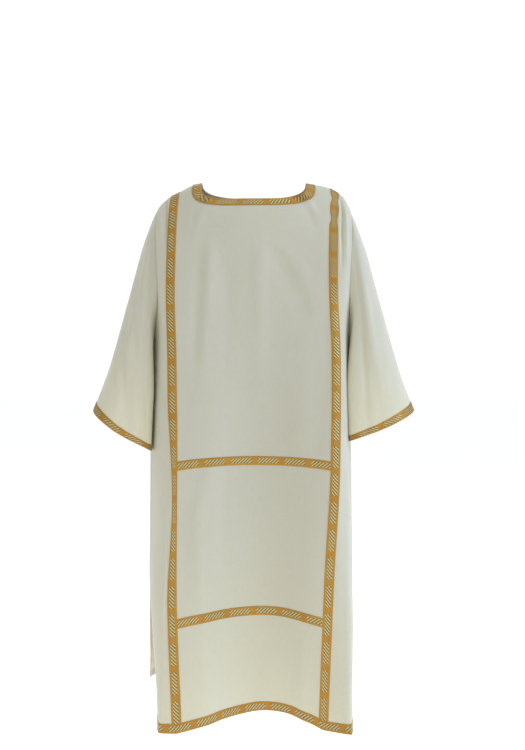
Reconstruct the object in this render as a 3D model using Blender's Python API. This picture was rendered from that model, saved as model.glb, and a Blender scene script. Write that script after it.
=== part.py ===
"""A worn dalmatic: an open, hollow tunic of ivory cloth trimmed with bands of woven gold galloon.

Metres, +Z up. The front faces -Y. Right and left are the wearer's, so the right side is at -X.
The origin is the middle of the neck opening, level with the shoulder seams beside the neck.
"""

from typing import NamedTuple

import bpy
import numpy as np

# Walls, bands and seams
CLOTH_WALL = 0.002
GALLOON_WALL = 0.0012
GALLOON_WIDTH = 0.020
SEAM_GAP = 0.0003

# Shoulder seams: their level beside the neck, and the drop in which cloth turns over them
SHOULDER_TOP = 0.010
SHOULDER_ROUNDING = 0.16
NECK_HALF_WIDTH = 0.1215
NECK_BAND_HALF_WIDTH = 0.143

# Levels of the body, from the chest down
CHEST = -0.25
UNDERARM = -0.40
UPPER_CROSSBAR = -0.6305
SLIT_TOP = -0.875
LOWER_CROSSBAR = -0.967
FRONT_HEM = -1.201
BACK_HEM = -1.193

# Sleeves: gap to the body's side, and the level of each cuff's inner end
SLEEVE_CLEARANCE = 0.006
RIGHT_CUFF_INNER = -0.612
LEFT_CUFF_INNER = -0.590

# Cells of the cloth's net
SHOULDER_ROWS = 6
EDGE_CELLS = 3
FOLD_CELLS = 2
MIDDLE_CELLS = 8
SLEEVE_STEPS = (0, 0.05, 0.15, 0.30, 0.48, 0.66, 0.84, 1.0)

# Points on the curves that the net is read from
STRETCH_POINTS = 13
CURVE_POINTS = 721
SEAM_LEVELS = 40

# Columns of a panel's net, counted from its right edge
FOLD = EDGE_CELLS
BAND_OUTER = FOLD + FOLD_CELLS
BAND_INNER = BAND_OUTER + 1
NECK_END = BAND_INNER + 1
CENTRE = BAND_INNER + MIDDLE_CELLS
COLUMNS = 2 * CENTRE + 1

IVORY = (0.80, 0.80, 0.71, 1)
GOLD = (0.55, 0.31, 0.06, 1)
CLOTH_ROUGHNESS = 0.75
GALLOON_ROUGHNESS = 0.45
SHARP_ANGLE = np.radians(50)


class Middle(NamedTuple):
    """One level of a panel's middle: where it lies, and how far the cloth there is drawn up."""

    level: float
    x: float
    y: float
    lift: float


class Quarter(NamedTuple):
    """One level of a quarter of the body: its clavus, its outer fold and its edge, out from the middle."""

    level: float
    band_x: float
    band_y: float
    fold_x: float
    fold_y: float
    edge_x: float
    edge_y: float


class Fold(NamedTuple):
    """A long soft fold of a panel, which deepens from its start to its full level; outward is positive."""

    start: float
    full: float
    start_x: float
    hem_x: float
    half_width: float
    depth: float


class Ring(NamedTuple):
    """One ring of a sleeve, by its share of the way to the cuff: its outer point and its two depths."""

    along: float
    outer_x: float
    outer_z: float
    inner_drop: float
    front: float
    back: float


class Neckline(NamedTuple):
    """The neck edge of a panel and its band's lower edge, with how square each corner is."""

    drop: float
    band_drop: float
    right_power: float
    left_power: float


class Panel(NamedTuple):
    """A body panel: -1 for the front and 1 for the back, its sections, neck, hem and folds."""

    side: int
    middle: tuple
    right: tuple
    left: tuple
    neck: Neckline
    hem: float
    folds: tuple


FRONT = Panel(
    side=-1,
    middle=(
        Middle(SHOULDER_TOP, 0.000, 0.094, 0),
        Middle(-0.10, 0.000, 0.102, 0),
        Middle(CHEST, 0.000, 0.115, 0),
        Middle(UNDERARM, 0.000, 0.118, 0.005),
        Middle(-0.64, 0.005, 0.118, 0.011),
        Middle(SLIT_TOP, 0.015, 0.120, 0.0155),
        Middle(FRONT_HEM, 0.030, 0.118, 0.0185),
    ),
    right=(
        Quarter(SHOULDER_TOP, 0.183, 0.074, 0.206, 0.072, 0.226, 0.068),
        Quarter(-0.10, 0.185, 0.088, 0.206, 0.085, 0.224, 0.079),
        Quarter(CHEST, 0.185, 0.117, 0.205, 0.108, 0.217, 0.092),
        Quarter(UNDERARM, 0.180, 0.130, 0.214, 0.088, 0.2335, 0),
        Quarter(-0.64, 0.176, 0.150, 0.221, 0.100, 0.2415, 0),
        Quarter(SLIT_TOP, 0.176, 0.167, 0.1925, 0.164, 0.244, 0),
        Quarter(FRONT_HEM, 0.162, 0.197, 0.2006, 0.194, 0.212, 0.035),
    ),
    left=(
        Quarter(SHOULDER_TOP, 0.188, 0.074, 0.208, 0.072, 0.226, 0.068),
        Quarter(-0.10, 0.178, 0.088, 0.203, 0.085, 0.225, 0.079),
        Quarter(CHEST, 0.178, 0.117, 0.202, 0.108, 0.216, 0.092),
        Quarter(UNDERARM, 0.183, 0.130, 0.207, 0.095, 0.219, 0),
        Quarter(-0.64, 0.179, 0.150, 0.212, 0.105, 0.2265, 0),
        Quarter(SLIT_TOP, 0.1645, 0.165, 0.207, 0.150, 0.229, 0),
        Quarter(FRONT_HEM, 0.150, 0.178, 0.2075, 0.203, 0.217, 0.045),
    ),
    neck=Neckline(0.050, 0.0675, 4.4, 3.7),
    hem=FRONT_HEM,
    folds=(
        Fold(-0.20, -0.45, -0.090, -0.105, 0.055, 0.004),
        Fold(-0.20, -0.50, 0.105, 0.110, 0.050, 0.003),
    ),
)

BACK = Panel(
    side=1,
    middle=(
        Middle(SHOULDER_TOP, 0, 0.086, 0),
        Middle(-0.10, 0, 0.108, 0),
        Middle(CHEST, 0, 0.128, 0),
        Middle(UNDERARM, 0, 0.130, 0),
        Middle(-0.64, 0, 0.128, 0),
        Middle(SLIT_TOP, 0, 0.127, 0.004),
        Middle(BACK_HEM, -0.010, 0.130, 0.008),
    ),
    right=(
        Quarter(SHOULDER_TOP, 0.183, 0.078, 0.206, 0.076, 0.226, 0.072),
        Quarter(-0.10, 0.185, 0.096, 0.206, 0.093, 0.224, 0.086),
        Quarter(CHEST, 0.183, 0.120, 0.204, 0.112, 0.217, 0.096),
        Quarter(UNDERARM, 0.178, 0.130, 0.214, 0.090, 0.2335, 0),
        Quarter(-0.64, 0.174, 0.138, 0.223, 0.100, 0.2415, 0),
        Quarter(SLIT_TOP, 0.172, 0.146, 0.226, 0.110, 0.244, 0),
        Quarter(BACK_HEM, 0.168, 0.164, 0.236, 0.152, 0.2595, 0.12),
    ),
    left=(
        Quarter(SHOULDER_TOP, 0.188, 0.078, 0.208, 0.076, 0.226, 0.072),
        Quarter(-0.10, 0.178, 0.096, 0.203, 0.093, 0.225, 0.086),
        Quarter(CHEST, 0.178, 0.120, 0.202, 0.112, 0.216, 0.096),
        Quarter(UNDERARM, 0.178, 0.130, 0.207, 0.090, 0.219, 0),
        Quarter(-0.64, 0.174, 0.138, 0.212, 0.100, 0.2265, 0),
        Quarter(SLIT_TOP, 0.168, 0.146, 0.214, 0.106, 0.229, 0),
        Quarter(BACK_HEM, 0.158, 0.162, 0.212, 0.143, 0.233, 0.08),
    ),
    neck=Neckline(0.026, 0.0435, 2.6, 2.6),
    hem=BACK_HEM,
    folds=(
        Fold(-0.30, -0.90, -0.120, -0.112, 0.045, 0.011),
        Fold(-0.35, -1.00, -0.055, -0.048, 0.040, -0.009),
        Fold(-0.25, -0.95, 0.020, 0.028, 0.045, 0.012),
        Fold(-0.40, -1.00, 0.090, 0.095, 0.045, -0.008),
    ),
)

# Level of each shoulder seam by its distance from the middle
RIGHT_SHOULDER = (
    (NECK_HALF_WIDTH, SHOULDER_TOP),
    (0.144, 0.0055),
    (0.160, -0.0045),
    (0.178, -0.014),
    (0.197, -0.0235),
    (0.212, -0.036),
    (0.226, -0.052),
)
LEFT_SHOULDER = (
    (NECK_HALF_WIDTH, SHOULDER_TOP),
    (0.1405, 0.0065),
    (0.170, 0.0006),
    (0.196, -0.0125),
    (0.209, -0.022),
    (0.218, -0.037),
    (0.226, -0.053),
)

SLEEVE = (
    Ring(0.00, 0.226, -0.053, 0.000, 0.092, 0.096),
    Ring(0.08, 0.242, -0.095, 0.003, 0.097, 0.101),
    Ring(0.20, 0.259, -0.146, 0.035, 0.102, 0.107),
    Ring(0.50, 0.297, -0.286, 0.450, 0.109, 0.116),
    Ring(0.80, 0.337, -0.426, 0.800, 0.113, 0.121),
    Ring(1.00, 0.372, -0.520, 1.000, 0.115, 0.123),
)
SLEEVE_FADE = 0.5
OUTER_ROUNDNESS = 2.2
ARMPIT_ROUNDNESS = 3.0
INNER_ROUNDNESS = 7.0
ROUNDNESS_CHANGE = 0.5
RIGHT_SLEEVE_WRAP = 0.0155
LEFT_SLEEVE_WRAP = 0.010
WRAP_START = 0.5
WRAP_DEPTH = 0.85
WRAP_POWER = 1.8
RING_CURVE_POINTS = 181


def smooth(at, values, where):
    """Reads, at the given places, a smooth curve through rows of values that swings past none of them."""
    at = np.asarray(at, float)
    values = np.asarray(values, float).reshape(len(at), -1)
    steps = np.diff(at)[:, None]
    slopes = np.diff(values, axis=0) / steps
    agree = slopes[1:] * slopes[:-1] > 0
    mean = 2 * slopes[1:] * slopes[:-1] / np.where(agree, slopes[1:] + slopes[:-1], 1)
    tangents = np.vstack([slopes[:1], np.where(agree, mean, 0), slopes[-1:]])
    where = np.clip(np.atleast_1d(where), at[0], at[-1])
    left = np.clip(np.searchsorted(at, where, side="right") - 1, 0, len(at) - 2)
    step = steps[left]
    share = (where - at[left])[:, None] / step
    rest = 1 - share
    return (
        values[left] * (1 + 2 * share) * rest**2
        + values[left + 1] * (1 + 2 * rest) * share**2
        + step * share * rest * (tangents[left] * rest - tangents[left + 1] * share)
    )


def ease(share):
    share = np.clip(share, 0, 1)
    return share * share * (3 - 2 * share)


def table_row(table, level):
    """The values of a table's columns at a level between its rows."""
    rows = np.array(table)[::-1]
    return smooth(rows[:, 0], rows[:, 1:], level)[0]


def shoulder_seam(x):
    """Level of the shoulder seam at a distance from the middle."""
    x = np.asarray(x, float)
    reach = abs(x).ravel()
    right, left = [smooth(*np.array(slope).T, reach)[:, 0] for slope in (RIGHT_SHOULDER, LEFT_SHOULDER)]
    return np.where(x < 0, right.reshape(x.shape), left.reshape(x.shape))


def shoulder_turn(drop):
    """Share of a panel's depth reached at a drop below the shoulder seam, as cloth turns over it."""
    return np.sqrt(1 - (1 - np.clip(drop / SHOULDER_ROUNDING, 0, 1)) ** 2)


def quarter_stations(quarter, side, closing):
    """A quarter's places at one level from its clavus out, and one past its edge that steers the curve.
    Under the arm the cloth turns the corner into the other panel, and above it runs on into the sleeve."""
    band_x, band_y, fold_x, fold_y, edge_x, edge_y = quarter
    straight_on = (2 * edge_x - fold_x, 2 * edge_y - fold_y)
    round_corner = (fold_x, 2 * edge_y - fold_y)
    past = np.array(straight_on) * (1 - closing) + np.array(round_corner) * closing
    places = np.array([(band_x, band_y), (fold_x, fold_y), (edge_x, edge_y), past])
    return places * (1, side)


def section(panel, level):
    """A panel's level line from its right edge to its left: close points, their distances along it, and
    the distances of its right edge, fold and clavus, its middle, and its left clavus, fold and edge."""
    closing = ease((CHEST - level) / (CHEST - UNDERARM))
    right = quarter_stations(table_row(panel.right, level), panel.side, closing) * (-1, 1)
    left = quarter_stations(table_row(panel.left, level), panel.side, closing)
    x, y, _ = table_row(panel.middle, level)
    stations = np.vstack([right[::-1], [(x, panel.side * y)], left])
    spacing = np.linalg.norm(np.diff(stations, axis=0), axis=1)
    at = np.concatenate([[0], np.cumsum(spacing)])
    stretches = [np.linspace(start, end, STRETCH_POINTS) for start, end in zip(at[1:-2], at[2:-1])]
    dense = np.unique(np.concatenate(stretches))
    line = smooth(at, stations, dense)
    for fold in panel.folds:
        grown = ease((fold.start - level) / (fold.start - fold.full))
        fold_x = np.interp(level, (panel.hem, fold.start), (fold.hem_x, fold.start_x))
        near = np.clip(abs(line[:, 0] - fold_x) / fold.half_width, 0, 1)
        line[:, 1] += panel.side * fold.depth * grown * (1 + np.cos(np.pi * near)) / 2
    run = np.concatenate([[0], np.cumsum(np.linalg.norm(np.diff(line, axis=0), axis=1))])
    marks = run[np.searchsorted(dense, at[1:-1] - 1e-9)]
    return line, run, marks


def column_distances(marks):
    """Distances along a section of the net's columns: the clavi keep the galloon's width."""
    half = GALLOON_WIDTH / 2
    right_edge, right_fold, right_band, middle, left_band, left_fold, left_edge = marks
    stretches = (
        (right_edge, right_fold, EDGE_CELLS),
        (right_fold, right_band - half, FOLD_CELLS),
        (right_band - half, right_band + half, 1),
        (right_band + half, middle, MIDDLE_CELLS),
        (middle, left_band - half, MIDDLE_CELLS),
        (left_band - half, left_band + half, 1),
        (left_band + half, left_fold, FOLD_CELLS),
        (left_fold, left_edge, EDGE_CELLS),
    )
    parts = [np.linspace(start, end, cells, endpoint=False) for start, end, cells in stretches]
    return np.append(np.concatenate(parts), left_edge)


def neck_curve(neck, half_width, drop):
    """Evenly spaced places along a neck edge, as distance from the middle and drop, right to left."""
    angle = np.linspace(0, np.pi, CURVE_POINTS)
    power = np.where(angle < np.pi / 2, neck.right_power, neck.left_power)
    x = -half_width * np.sign(np.cos(angle)) * abs(np.cos(angle)) ** (2 / power)
    fall = drop * abs(np.sin(angle)) ** (2 / power)
    run = np.concatenate([[0], np.cumsum(np.hypot(np.diff(x), np.diff(fall)))])
    even = np.linspace(0, run[-1], 2 * (CENTRE - NECK_END) + 1)
    return np.interp(even, run, x), np.interp(even, run, fall)


def panel_levels(panel):
    """Levels of a panel's rows from the chest down to its hem, with a row at each edge of each band."""
    return (
        CHEST,
        -0.32,
        UNDERARM,
        -0.47,
        -0.55,
        UPPER_CROSSBAR,
        UPPER_CROSSBAR - GALLOON_WIDTH,
        -0.72,
        -0.80,
        SLIT_TOP,
        -0.92,
        LOWER_CROSSBAR,
        LOWER_CROSSBAR - GALLOON_WIDTH,
        -1.04,
        -1.09,
        -1.14,
        panel.hem + GALLOON_WIDTH,
        panel.hem,
    )


# Rows of a panel's net, counted from its neck edge
UNDERARM_ROW = 1 + SHOULDER_ROWS + 2
UPPER_CROSSBAR_ROW = UNDERARM_ROW + 3
SLIT_TOP_ROW = UPPER_CROSSBAR_ROW + 4
LOWER_CROSSBAR_ROW = SLIT_TOP_ROW + 2
HEM_ROW = LOWER_CROSSBAR_ROW + 6


def on_panel(panel, x, level):
    """The panel's point at a distance from the middle and a level on its upper part."""
    line = section(panel, level)[0]
    depth = np.interp(x, line[:, 0], line[:, 1])
    return x, depth * shoulder_turn(shoulder_seam(x) - level), level


def panel_net(panel):
    """The panel's net of points. Its first row is the neck edge, used only between the neck's ends."""
    net = np.zeros((HEM_ROW + 1, COLUMNS, 3))
    necks = slice(NECK_END, COLUMNS - NECK_END)
    line, run, marks = section(panel, SHOULDER_TOP)
    top_x = np.interp(column_distances(marks), run, line[:, 0])
    edge_x, edge_drop = neck_curve(panel.neck, NECK_HALF_WIDTH, panel.neck.drop)
    top_x[necks], band_drop = neck_curve(panel.neck, NECK_BAND_HALF_WIDTH, panel.neck.band_drop)
    top_level = shoulder_seam(top_x)
    top_level[necks] -= band_drop
    for place, x, drop in zip(range(COLUMNS)[necks], edge_x, edge_drop):
        net[0, place] = on_panel(panel, x, shoulder_seam(x) - drop)
    for row in range(SHOULDER_ROWS):
        share = row / SHOULDER_ROWS
        for column in range(COLUMNS):
            level = top_level[column] + (CHEST - top_level[column]) * share**2
            line, run, marks = section(panel, level)
            hanging_x = np.interp(column_distances(marks)[column], run, line[:, 0])
            x = top_x[column] + (hanging_x - top_x[column]) * ease(share)
            net[1 + row, column] = on_panel(panel, x, level)
    for row, level in enumerate(panel_levels(panel), 1 + SHOULDER_ROWS):
        line, run, marks = section(panel, level)
        distances = column_distances(marks)
        lift = table_row(panel.middle, level)[2]
        right_band, middle, left_band = marks[2:5]
        reach = np.where(distances < middle, right_band - middle, left_band - middle)
        from_middle = (distances - middle) / reach
        net[row, :, 0] = np.interp(distances, run, line[:, 0])
        net[row, :, 1] = np.interp(distances, run, line[:, 1])
        net[row, :, 2] = level + lift * (1 - np.clip(from_middle, 0, 1) ** 3)
    return net


def panel_cells():
    """Which cells of a panel's net are cloth: all but those beside the neck band."""
    cells = np.ones((HEM_ROW, COLUMNS - 1), bool)
    cells[0, :NECK_END] = False
    cells[0, COLUMNS - 1 - NECK_END :] = False
    return cells


def evenly_spaced(line, count):
    """The same line through a number of evenly spaced points."""
    run = np.concatenate([[0], np.cumsum(np.linalg.norm(np.diff(line, axis=0), axis=1))])
    even = np.linspace(0, run[-1], count)
    return np.stack([np.interp(even, run, part) for part in line.T], axis=-1)


def sleeve_net(armhole, cuff_inner, wrap):
    """A sleeve's net: rings from the armhole's points to the cuff, the last one galloon away from it.
    The armhole starts at the shoulder and runs down the front and up the back."""
    half = len(armhole) // 2
    side = np.sign(armhole[0, 0])
    underarm = armhole[half]
    body = BODY_EDGES[side]
    angles = np.linspace(0, np.pi, RING_CURVE_POINTS)

    def ring(along):
        outer_x, outer_z, inner_drop, front, back = smooth(
            [row.along for row in SLEEVE], [row[1:] for row in SLEEVE], along
        )[0]
        inner_z = underarm[2] + (cuff_inner - underarm[2]) * inner_drop
        clear = SLEEVE_CLEARANCE * ease(along / SLEEVE[1].along)
        inner_x = np.interp(-inner_z, -body[:, 1], body[:, 0]) + clear
        middle = np.array([side * (outer_x + inner_x), 0, outer_z + inner_z]) / 2
        reach = np.array([side * (outer_x - inner_x), 0, outer_z - inner_z]) / 2
        inner = ARMPIT_ROUNDNESS + (INNER_ROUNDNESS - ARMPIT_ROUNDNESS) * ease(along / ROUNDNESS_CHANGE)
        roundness = np.where(np.cos(angles) > 0, OUTER_ROUNDNESS, inner)
        across = np.sign(np.cos(angles)) * abs(np.cos(angles)) ** (2 / roundness)
        deep = abs(np.sin(angles)) ** (2 / roundness)
        wrapped = np.minimum(deep / WRAP_DEPTH, 1) ** WRAP_POWER * ease(-across) * ease(along / WRAP_START)
        middles = middle - np.outer(wrapped, (side * wrap, 0, 0))
        halves = [middles + across[:, None] * reach + deep[:, None] * (0, depth, 0) for depth in (-front, back)]
        front_half, back_half = [evenly_spaced(one, half + 1) for one in halves]
        return np.vstack([front_half, back_half[-2:0:-1]])

    start = ring(0)
    cuff = ring(1)
    length = np.linalg.norm(cuff - armhole, axis=1)
    band = 1 - GALLOON_WIDTH / length
    net = [armhole]
    for step in SLEEVE_STEPS[1:]:
        points = np.array([ring(step * share)[place] for place, share in enumerate(band)])
        fade = np.clip(1 - step * band / SLEEVE_FADE, 0, 1) ** 2
        net.append(points + (armhole - start) * fade[:, None])
    return np.array(net + [cuff])


def cell_corners(cells, columns):
    """The corners of each cell of cloth, as places in the net. A net that closes on itself wraps round."""
    rows, places = np.nonzero(cells)
    after = (places + 1) % columns
    corners = [rows * columns + places, rows * columns + after]
    return np.stack(corners + [corners[1] + columns, corners[0] + columns], axis=1)


def net_normals(net, cells, outward):
    """Unit normals at the net's points, on the side that the sign picks."""
    points = net.reshape(-1, 3)
    corners = cell_corners(cells, net.shape[1])
    falling = points[corners[:, 2]] - points[corners[:, 0]]
    rising = points[corners[:, 3]] - points[corners[:, 1]]
    faces = outward * np.cross(falling, rising)
    normals = np.zeros_like(points)
    for corner in corners.T:
        np.add.at(normals, corner, faces)
    lengths = np.linalg.norm(normals, axis=1, keepdims=True)
    return (normals / np.where(lengths > 0, lengths, 1)).reshape(net.shape)


def split(points, corners):
    """Two triangles for each cell, cut along its diagonal that rises towards the wearer's left."""
    first = points[corners[:, 0]] - points[corners[:, 2]]
    second = points[corners[:, 1]] - points[corners[:, 3]]
    first_rises = first[:, 0] * first[:, 2] >= second[:, 0] * second[:, 2]
    turned = np.where(first_rises[:, None], corners, np.roll(corners, -1, axis=1))
    return np.vstack([turned[:, [0, 1, 2]], turned[:, [0, 2, 3]]])


def unit(vectors):
    return vectors / np.linalg.norm(vectors, axis=-1, keepdims=True)


def material(name, colour, roughness):
    made = bpy.data.materials.new(name)
    made.use_nodes = True
    shader = made.node_tree.nodes["Principled BSDF"]
    shader.inputs["Base Color"].default_value = colour
    shader.inputs["Roughness"].default_value = roughness
    shader.inputs["Metallic"].default_value = 0.0
    made.diffuse_color = colour
    return made


def wall(name, net, normals, cells, outward, inner, outer, finish):
    """Makes the closed solid that lies between two distances from the net, and rims its free edges."""
    rows, columns, _ = net.shape
    corners = cell_corners(cells, columns)
    if outward < 0:
        corners = corners[:, ::-1]
    used, index = np.unique(corners, return_inverse=True)
    corners = index.reshape(corners.shape)
    points = net.reshape(-1, 3)[used]
    facing = normals.reshape(-1, 3)[used]
    count = len(used)
    ends = [(a, b) for quad in corners.tolist() for a, b in zip(quad, quad[1:] + quad[:1])]
    shared = set(ends)
    rims = [(b, a, a + count, b + count) for a, b in ends if (b, a) not in shared]
    skin = split(points, corners)
    faces = skin.tolist() + (skin[:, ::-1] + count).tolist() + rims
    mesh = bpy.data.meshes.new(name)
    mesh.from_pydata(np.vstack([points + facing * outer, points + facing * inner]).tolist(), [], faces)
    mesh.shade_smooth()
    mesh.set_sharp_from_angle(angle=SHARP_ANGLE)
    mesh.materials.append(finish)
    made = bpy.data.objects.new(name, mesh)
    bpy.context.scene.collection.objects.link(made)
    made.parent = GARMENT
    return made


def cloth(name, net, normals, cells, outward):
    half = CLOTH_WALL / 2
    finish = material(name + "_cloth", IVORY, CLOTH_ROUGHNESS)
    return wall(name, net, normals, cells, outward, -half, half, finish)


def galloon(name, net, normals, outward, closed=False):
    """A band of galloon that lies on the cloth's own points, moved out by the seam gap."""
    cells = np.ones((net.shape[0] - 1, net.shape[1] - (not closed)), bool)
    inner = CLOTH_WALL / 2 + SEAM_GAP
    finish = material(name + "_gold", GOLD, GALLOON_ROUGHNESS)
    return wall(name, net, normals, cells, outward, inner, inner + GALLOON_WALL, finish)


def body_edge(quarters):
    """A side seam's distance from the middle, by level."""
    levels = np.linspace(UNDERARM, SLIT_TOP, SEAM_LEVELS)
    return np.array([(table_row(quarters, level)[4], level) for level in levels])


def drawn_in(line, beside, gap):
    """A line of points moved by a gap towards the line beside it, square to its own run."""
    run = unit(np.gradient(line, axis=0))
    towards = beside - line
    towards -= run * np.sum(towards * run, axis=-1, keepdims=True)
    return line + gap * unit(towards)


def shortened(net, axis, gap, ends=(True, True)):
    """The net with its end lines along an axis drawn in by a gap."""
    net = np.moveaxis(net.copy(), axis, 0)
    if ends[0]:
        net[0] = drawn_in(net[0], net[1], gap)
    if ends[1]:
        net[-1] = drawn_in(net[-1], net[-2], gap)
    return np.moveaxis(net, 0, axis)


for old in list(bpy.data.objects):
    bpy.data.objects.remove(old)

GARMENT = bpy.data.objects.new("dalmatic", None)
bpy.context.scene.collection.objects.link(GARMENT)
BODY_EDGES = {-1: body_edge(FRONT.right), 1: body_edge(FRONT.left)}

front = panel_net(FRONT)
back = panel_net(BACK)
cells = panel_cells()
front_normals = net_normals(front, cells, -1)
back_normals = net_normals(back, cells, 1)

# The panels share their rims' direction along the shoulder seams and the side seams.
shoulders = [(1, column) for column in range(COLUMNS) if not NECK_END < column < COLUMNS - 1 - NECK_END]
shoulders += [(0, NECK_END), (0, COLUMNS - 1 - NECK_END)]
side_seams = [(row, column) for row in range(UNDERARM_ROW, SLIT_TOP_ROW + 1) for column in (0, COLUMNS - 1)]
for place in shoulders + side_seams:
    front_normals[place] = back_normals[place] = unit(front_normals[place] + back_normals[place])

sleeves = {}
SLEEVES = (
    ("right", 0, -1, RIGHT_CUFF_INNER, RIGHT_SLEEVE_WRAP),
    ("left", COLUMNS - 1, 1, LEFT_CUFF_INNER, LEFT_SLEEVE_WRAP),
)
for name, column, side, cuff_inner, wrap in SLEEVES:
    down = list(range(1, UNDERARM_ROW + 1))
    up = list(range(UNDERARM_ROW - 1, 1, -1))
    net = sleeve_net(np.vstack([front[down, column], back[up, column]]), cuff_inner, wrap)
    sleeve_cells = np.ones((len(net) - 1, net.shape[1]), bool)
    normals = net_normals(net, sleeve_cells, side)
    panel_rim = np.vstack([front_normals[down, column], back_normals[up, column]])
    normals[0] = unit(normals[0] + panel_rim)
    front_normals[down, column] = normals[0, : len(down)]
    back_normals[up, column] = normals[0, len(down) :]
    back_normals[[1, UNDERARM_ROW], column] = normals[0, [0, len(down) - 1]]
    sleeves[name] = (shortened(net, 0, SEAM_GAP / 2, (True, False)), normals, sleeve_cells, side)

# The clavi run from the front hem galloon over the shoulders to the back hem galloon.
clavi = {}
for name, first in (("right", BAND_OUTER), ("left", COLUMNS - 1 - BAND_INNER)):
    band = slice(first, first + 2)
    path = np.concatenate([front[HEM_ROW - 1 : 0 : -1, band], back[2:HEM_ROW, band]])
    facing = np.concatenate([front_normals[HEM_ROW - 1 : 0 : -1, band], back_normals[2:HEM_ROW, band]])
    clavi[name] = (shortened(path, 0, SEAM_GAP), facing)

# The neck galloon goes once round the neck, over both shoulder seams.
necks = slice(NECK_END, COLUMNS - NECK_END)
inner_necks = slice(COLUMNS - 2 - NECK_END, NECK_END, -1)
neck_net = np.concatenate([front[:2, necks], back[:2, inner_necks]], axis=1)
neck_normals = np.concatenate([front_normals[:2, necks], back_normals[:2, inner_necks]], axis=1)

cross = slice(BAND_INNER, COLUMNS - BAND_INNER)
crossbars = {
    "upper": slice(UPPER_CROSSBAR_ROW, UPPER_CROSSBAR_ROW + 2),
    "lower": slice(LOWER_CROSSBAR_ROW, LOWER_CROSSBAR_ROW + 2),
}

# Each panel is drawn in from its seams by half of the seam gap.
for panel, net in ((FRONT, front), (BACK, back)):
    armholes = slice(2, UNDERARM_ROW + 1)
    net[armholes] = shortened(net[armholes], 1, SEAM_GAP / 2)
    net[1, 0, 0] += SEAM_GAP / 2
    net[1, -1, 0] -= SEAM_GAP / 2
    for row, column in shoulders + side_seams:
        net[row, column, 1] += panel.side * SEAM_GAP / 2

cloth("front_panel", front, front_normals, cells, -1)
cloth("back_panel", back, back_normals, cells, 1)
for name, (net, normals, sleeve_cells, side) in sleeves.items():
    cloth(name + "_sleeve", net, normals, sleeve_cells, side)
    galloon(name + "_cuff_galloon", net[-2:], normals[-2:], side, closed=True)
for name, (net, normals) in clavi.items():
    galloon(name + "_clavus", net, normals, 1)
for name, rows in crossbars.items():
    net = shortened(front[rows, cross], 1, SEAM_GAP)
    galloon(name + "_front_crossbar", net, front_normals[rows, cross], -1)
galloon("neck_galloon", neck_net, neck_normals, -1, closed=True)
galloon("front_hem_galloon", front[-2:], front_normals[-2:], -1)
galloon("back_hem_galloon", back[-2:], back_normals[-2:], 1)
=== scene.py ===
"""The looks of a worn dalmatic: ivory vestment cloth, creased as it hangs, with woven gold galloon.

Metres, +Z up. The front faces -Y and the wearer's right is at -X. Each piece of cloth is a thin shell on
the form of its solid: the section tables are the cut's own sizes, on a net fine enough for creases.
"""

from typing import NamedTuple

import bpy
import numpy as np
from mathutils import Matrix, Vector


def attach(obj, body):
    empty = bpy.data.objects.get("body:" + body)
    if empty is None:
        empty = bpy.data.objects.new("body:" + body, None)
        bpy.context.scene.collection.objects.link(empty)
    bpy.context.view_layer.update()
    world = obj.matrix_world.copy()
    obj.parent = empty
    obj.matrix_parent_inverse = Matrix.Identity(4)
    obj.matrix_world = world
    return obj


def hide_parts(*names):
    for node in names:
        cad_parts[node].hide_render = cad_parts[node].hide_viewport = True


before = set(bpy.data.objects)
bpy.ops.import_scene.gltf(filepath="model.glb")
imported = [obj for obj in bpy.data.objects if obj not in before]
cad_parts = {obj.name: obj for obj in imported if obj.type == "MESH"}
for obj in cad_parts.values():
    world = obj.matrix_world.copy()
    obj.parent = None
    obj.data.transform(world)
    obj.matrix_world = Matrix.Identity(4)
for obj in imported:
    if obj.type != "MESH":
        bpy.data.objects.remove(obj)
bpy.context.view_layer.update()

# Walls: the cloth's own, and the galloon that is sewn on it
CLOTH_HALF_WALL = 0.0007
GALLOON_LIFT = 0.0009
GALLOON_WALL = 0.0010
GALLOON_WIDTH = 0.020

# Shoulder seam, neck and levels of the body
SHOULDER_TOP = 0.010
SHOULDER_ROUNDING = 0.16
NECK_HALF_WIDTH = 0.1215
NECK_BAND_HALF_WIDTH = 0.143
CHEST = -0.25
UNDERARM = -0.40
UPPER_CROSSBAR = -0.6305
SLIT_TOP = -0.875
LOWER_CROSSBAR = -0.967
FRONT_HEM = -1.201
BACK_HEM = -1.193

# Sleeves: their gap to the body, their cuffs' inner ends, how round their rings are, and their wrap round it
SLEEVE_CLEARANCE = 0.004
RIGHT_CUFF_INNER = -0.612
LEFT_CUFF_INNER = -0.590
SLEEVE_FADE = 0.5
OUTER_ROUNDNESS = 2.2
ARMPIT_ROUNDNESS = 3.0
INNER_ROUNDNESS = 7.0
ROUNDNESS_CHANGE = 0.5
RIGHT_SLEEVE_WRAP = 0.0195
LEFT_SLEEVE_WRAP = 0.018
WRAP_START = 0.5
WRAP_DEPTH = 0.85
WRAP_POWER = 1.8
RING_CURVE_POINTS = 181

# The net: cells across each stretch of a panel, and rows down it
EDGE_CELLS = 18
EDGE_CROWDING = 1.6
FOLD_CELLS = 9
BAND_CELLS = 8
NECK_INSET_CELLS = 4
MIDDLE_CELLS = 38
NECK_ROWS = 8
SHOULDER_ROWS = 64
UNDERARM_ROWS = 30
WAIST_ROWS = 46
BAND_ROWS = 4
HIP_ROWS = 45
SLIT_ROWS = 18
SKIRT_ROWS = 39
SLEEVE_ROWS = 96
CUFF_ROWS = 6

# Creases: how square to their side the cloth has to face to take them in full
FULL_FACING = 0.5
RIPPLE_GRID = 64
RIPPLE_CELL = (0.075, 0.26)
RIPPLE_LIFT = 0.0011
RELAX_PASSES = 3
SEAM_DIP = 0.0014
SEAM_REACH = 0.005
SEAM_FADE = 0.02
SHARP_ANGLE = np.radians(50)

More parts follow.
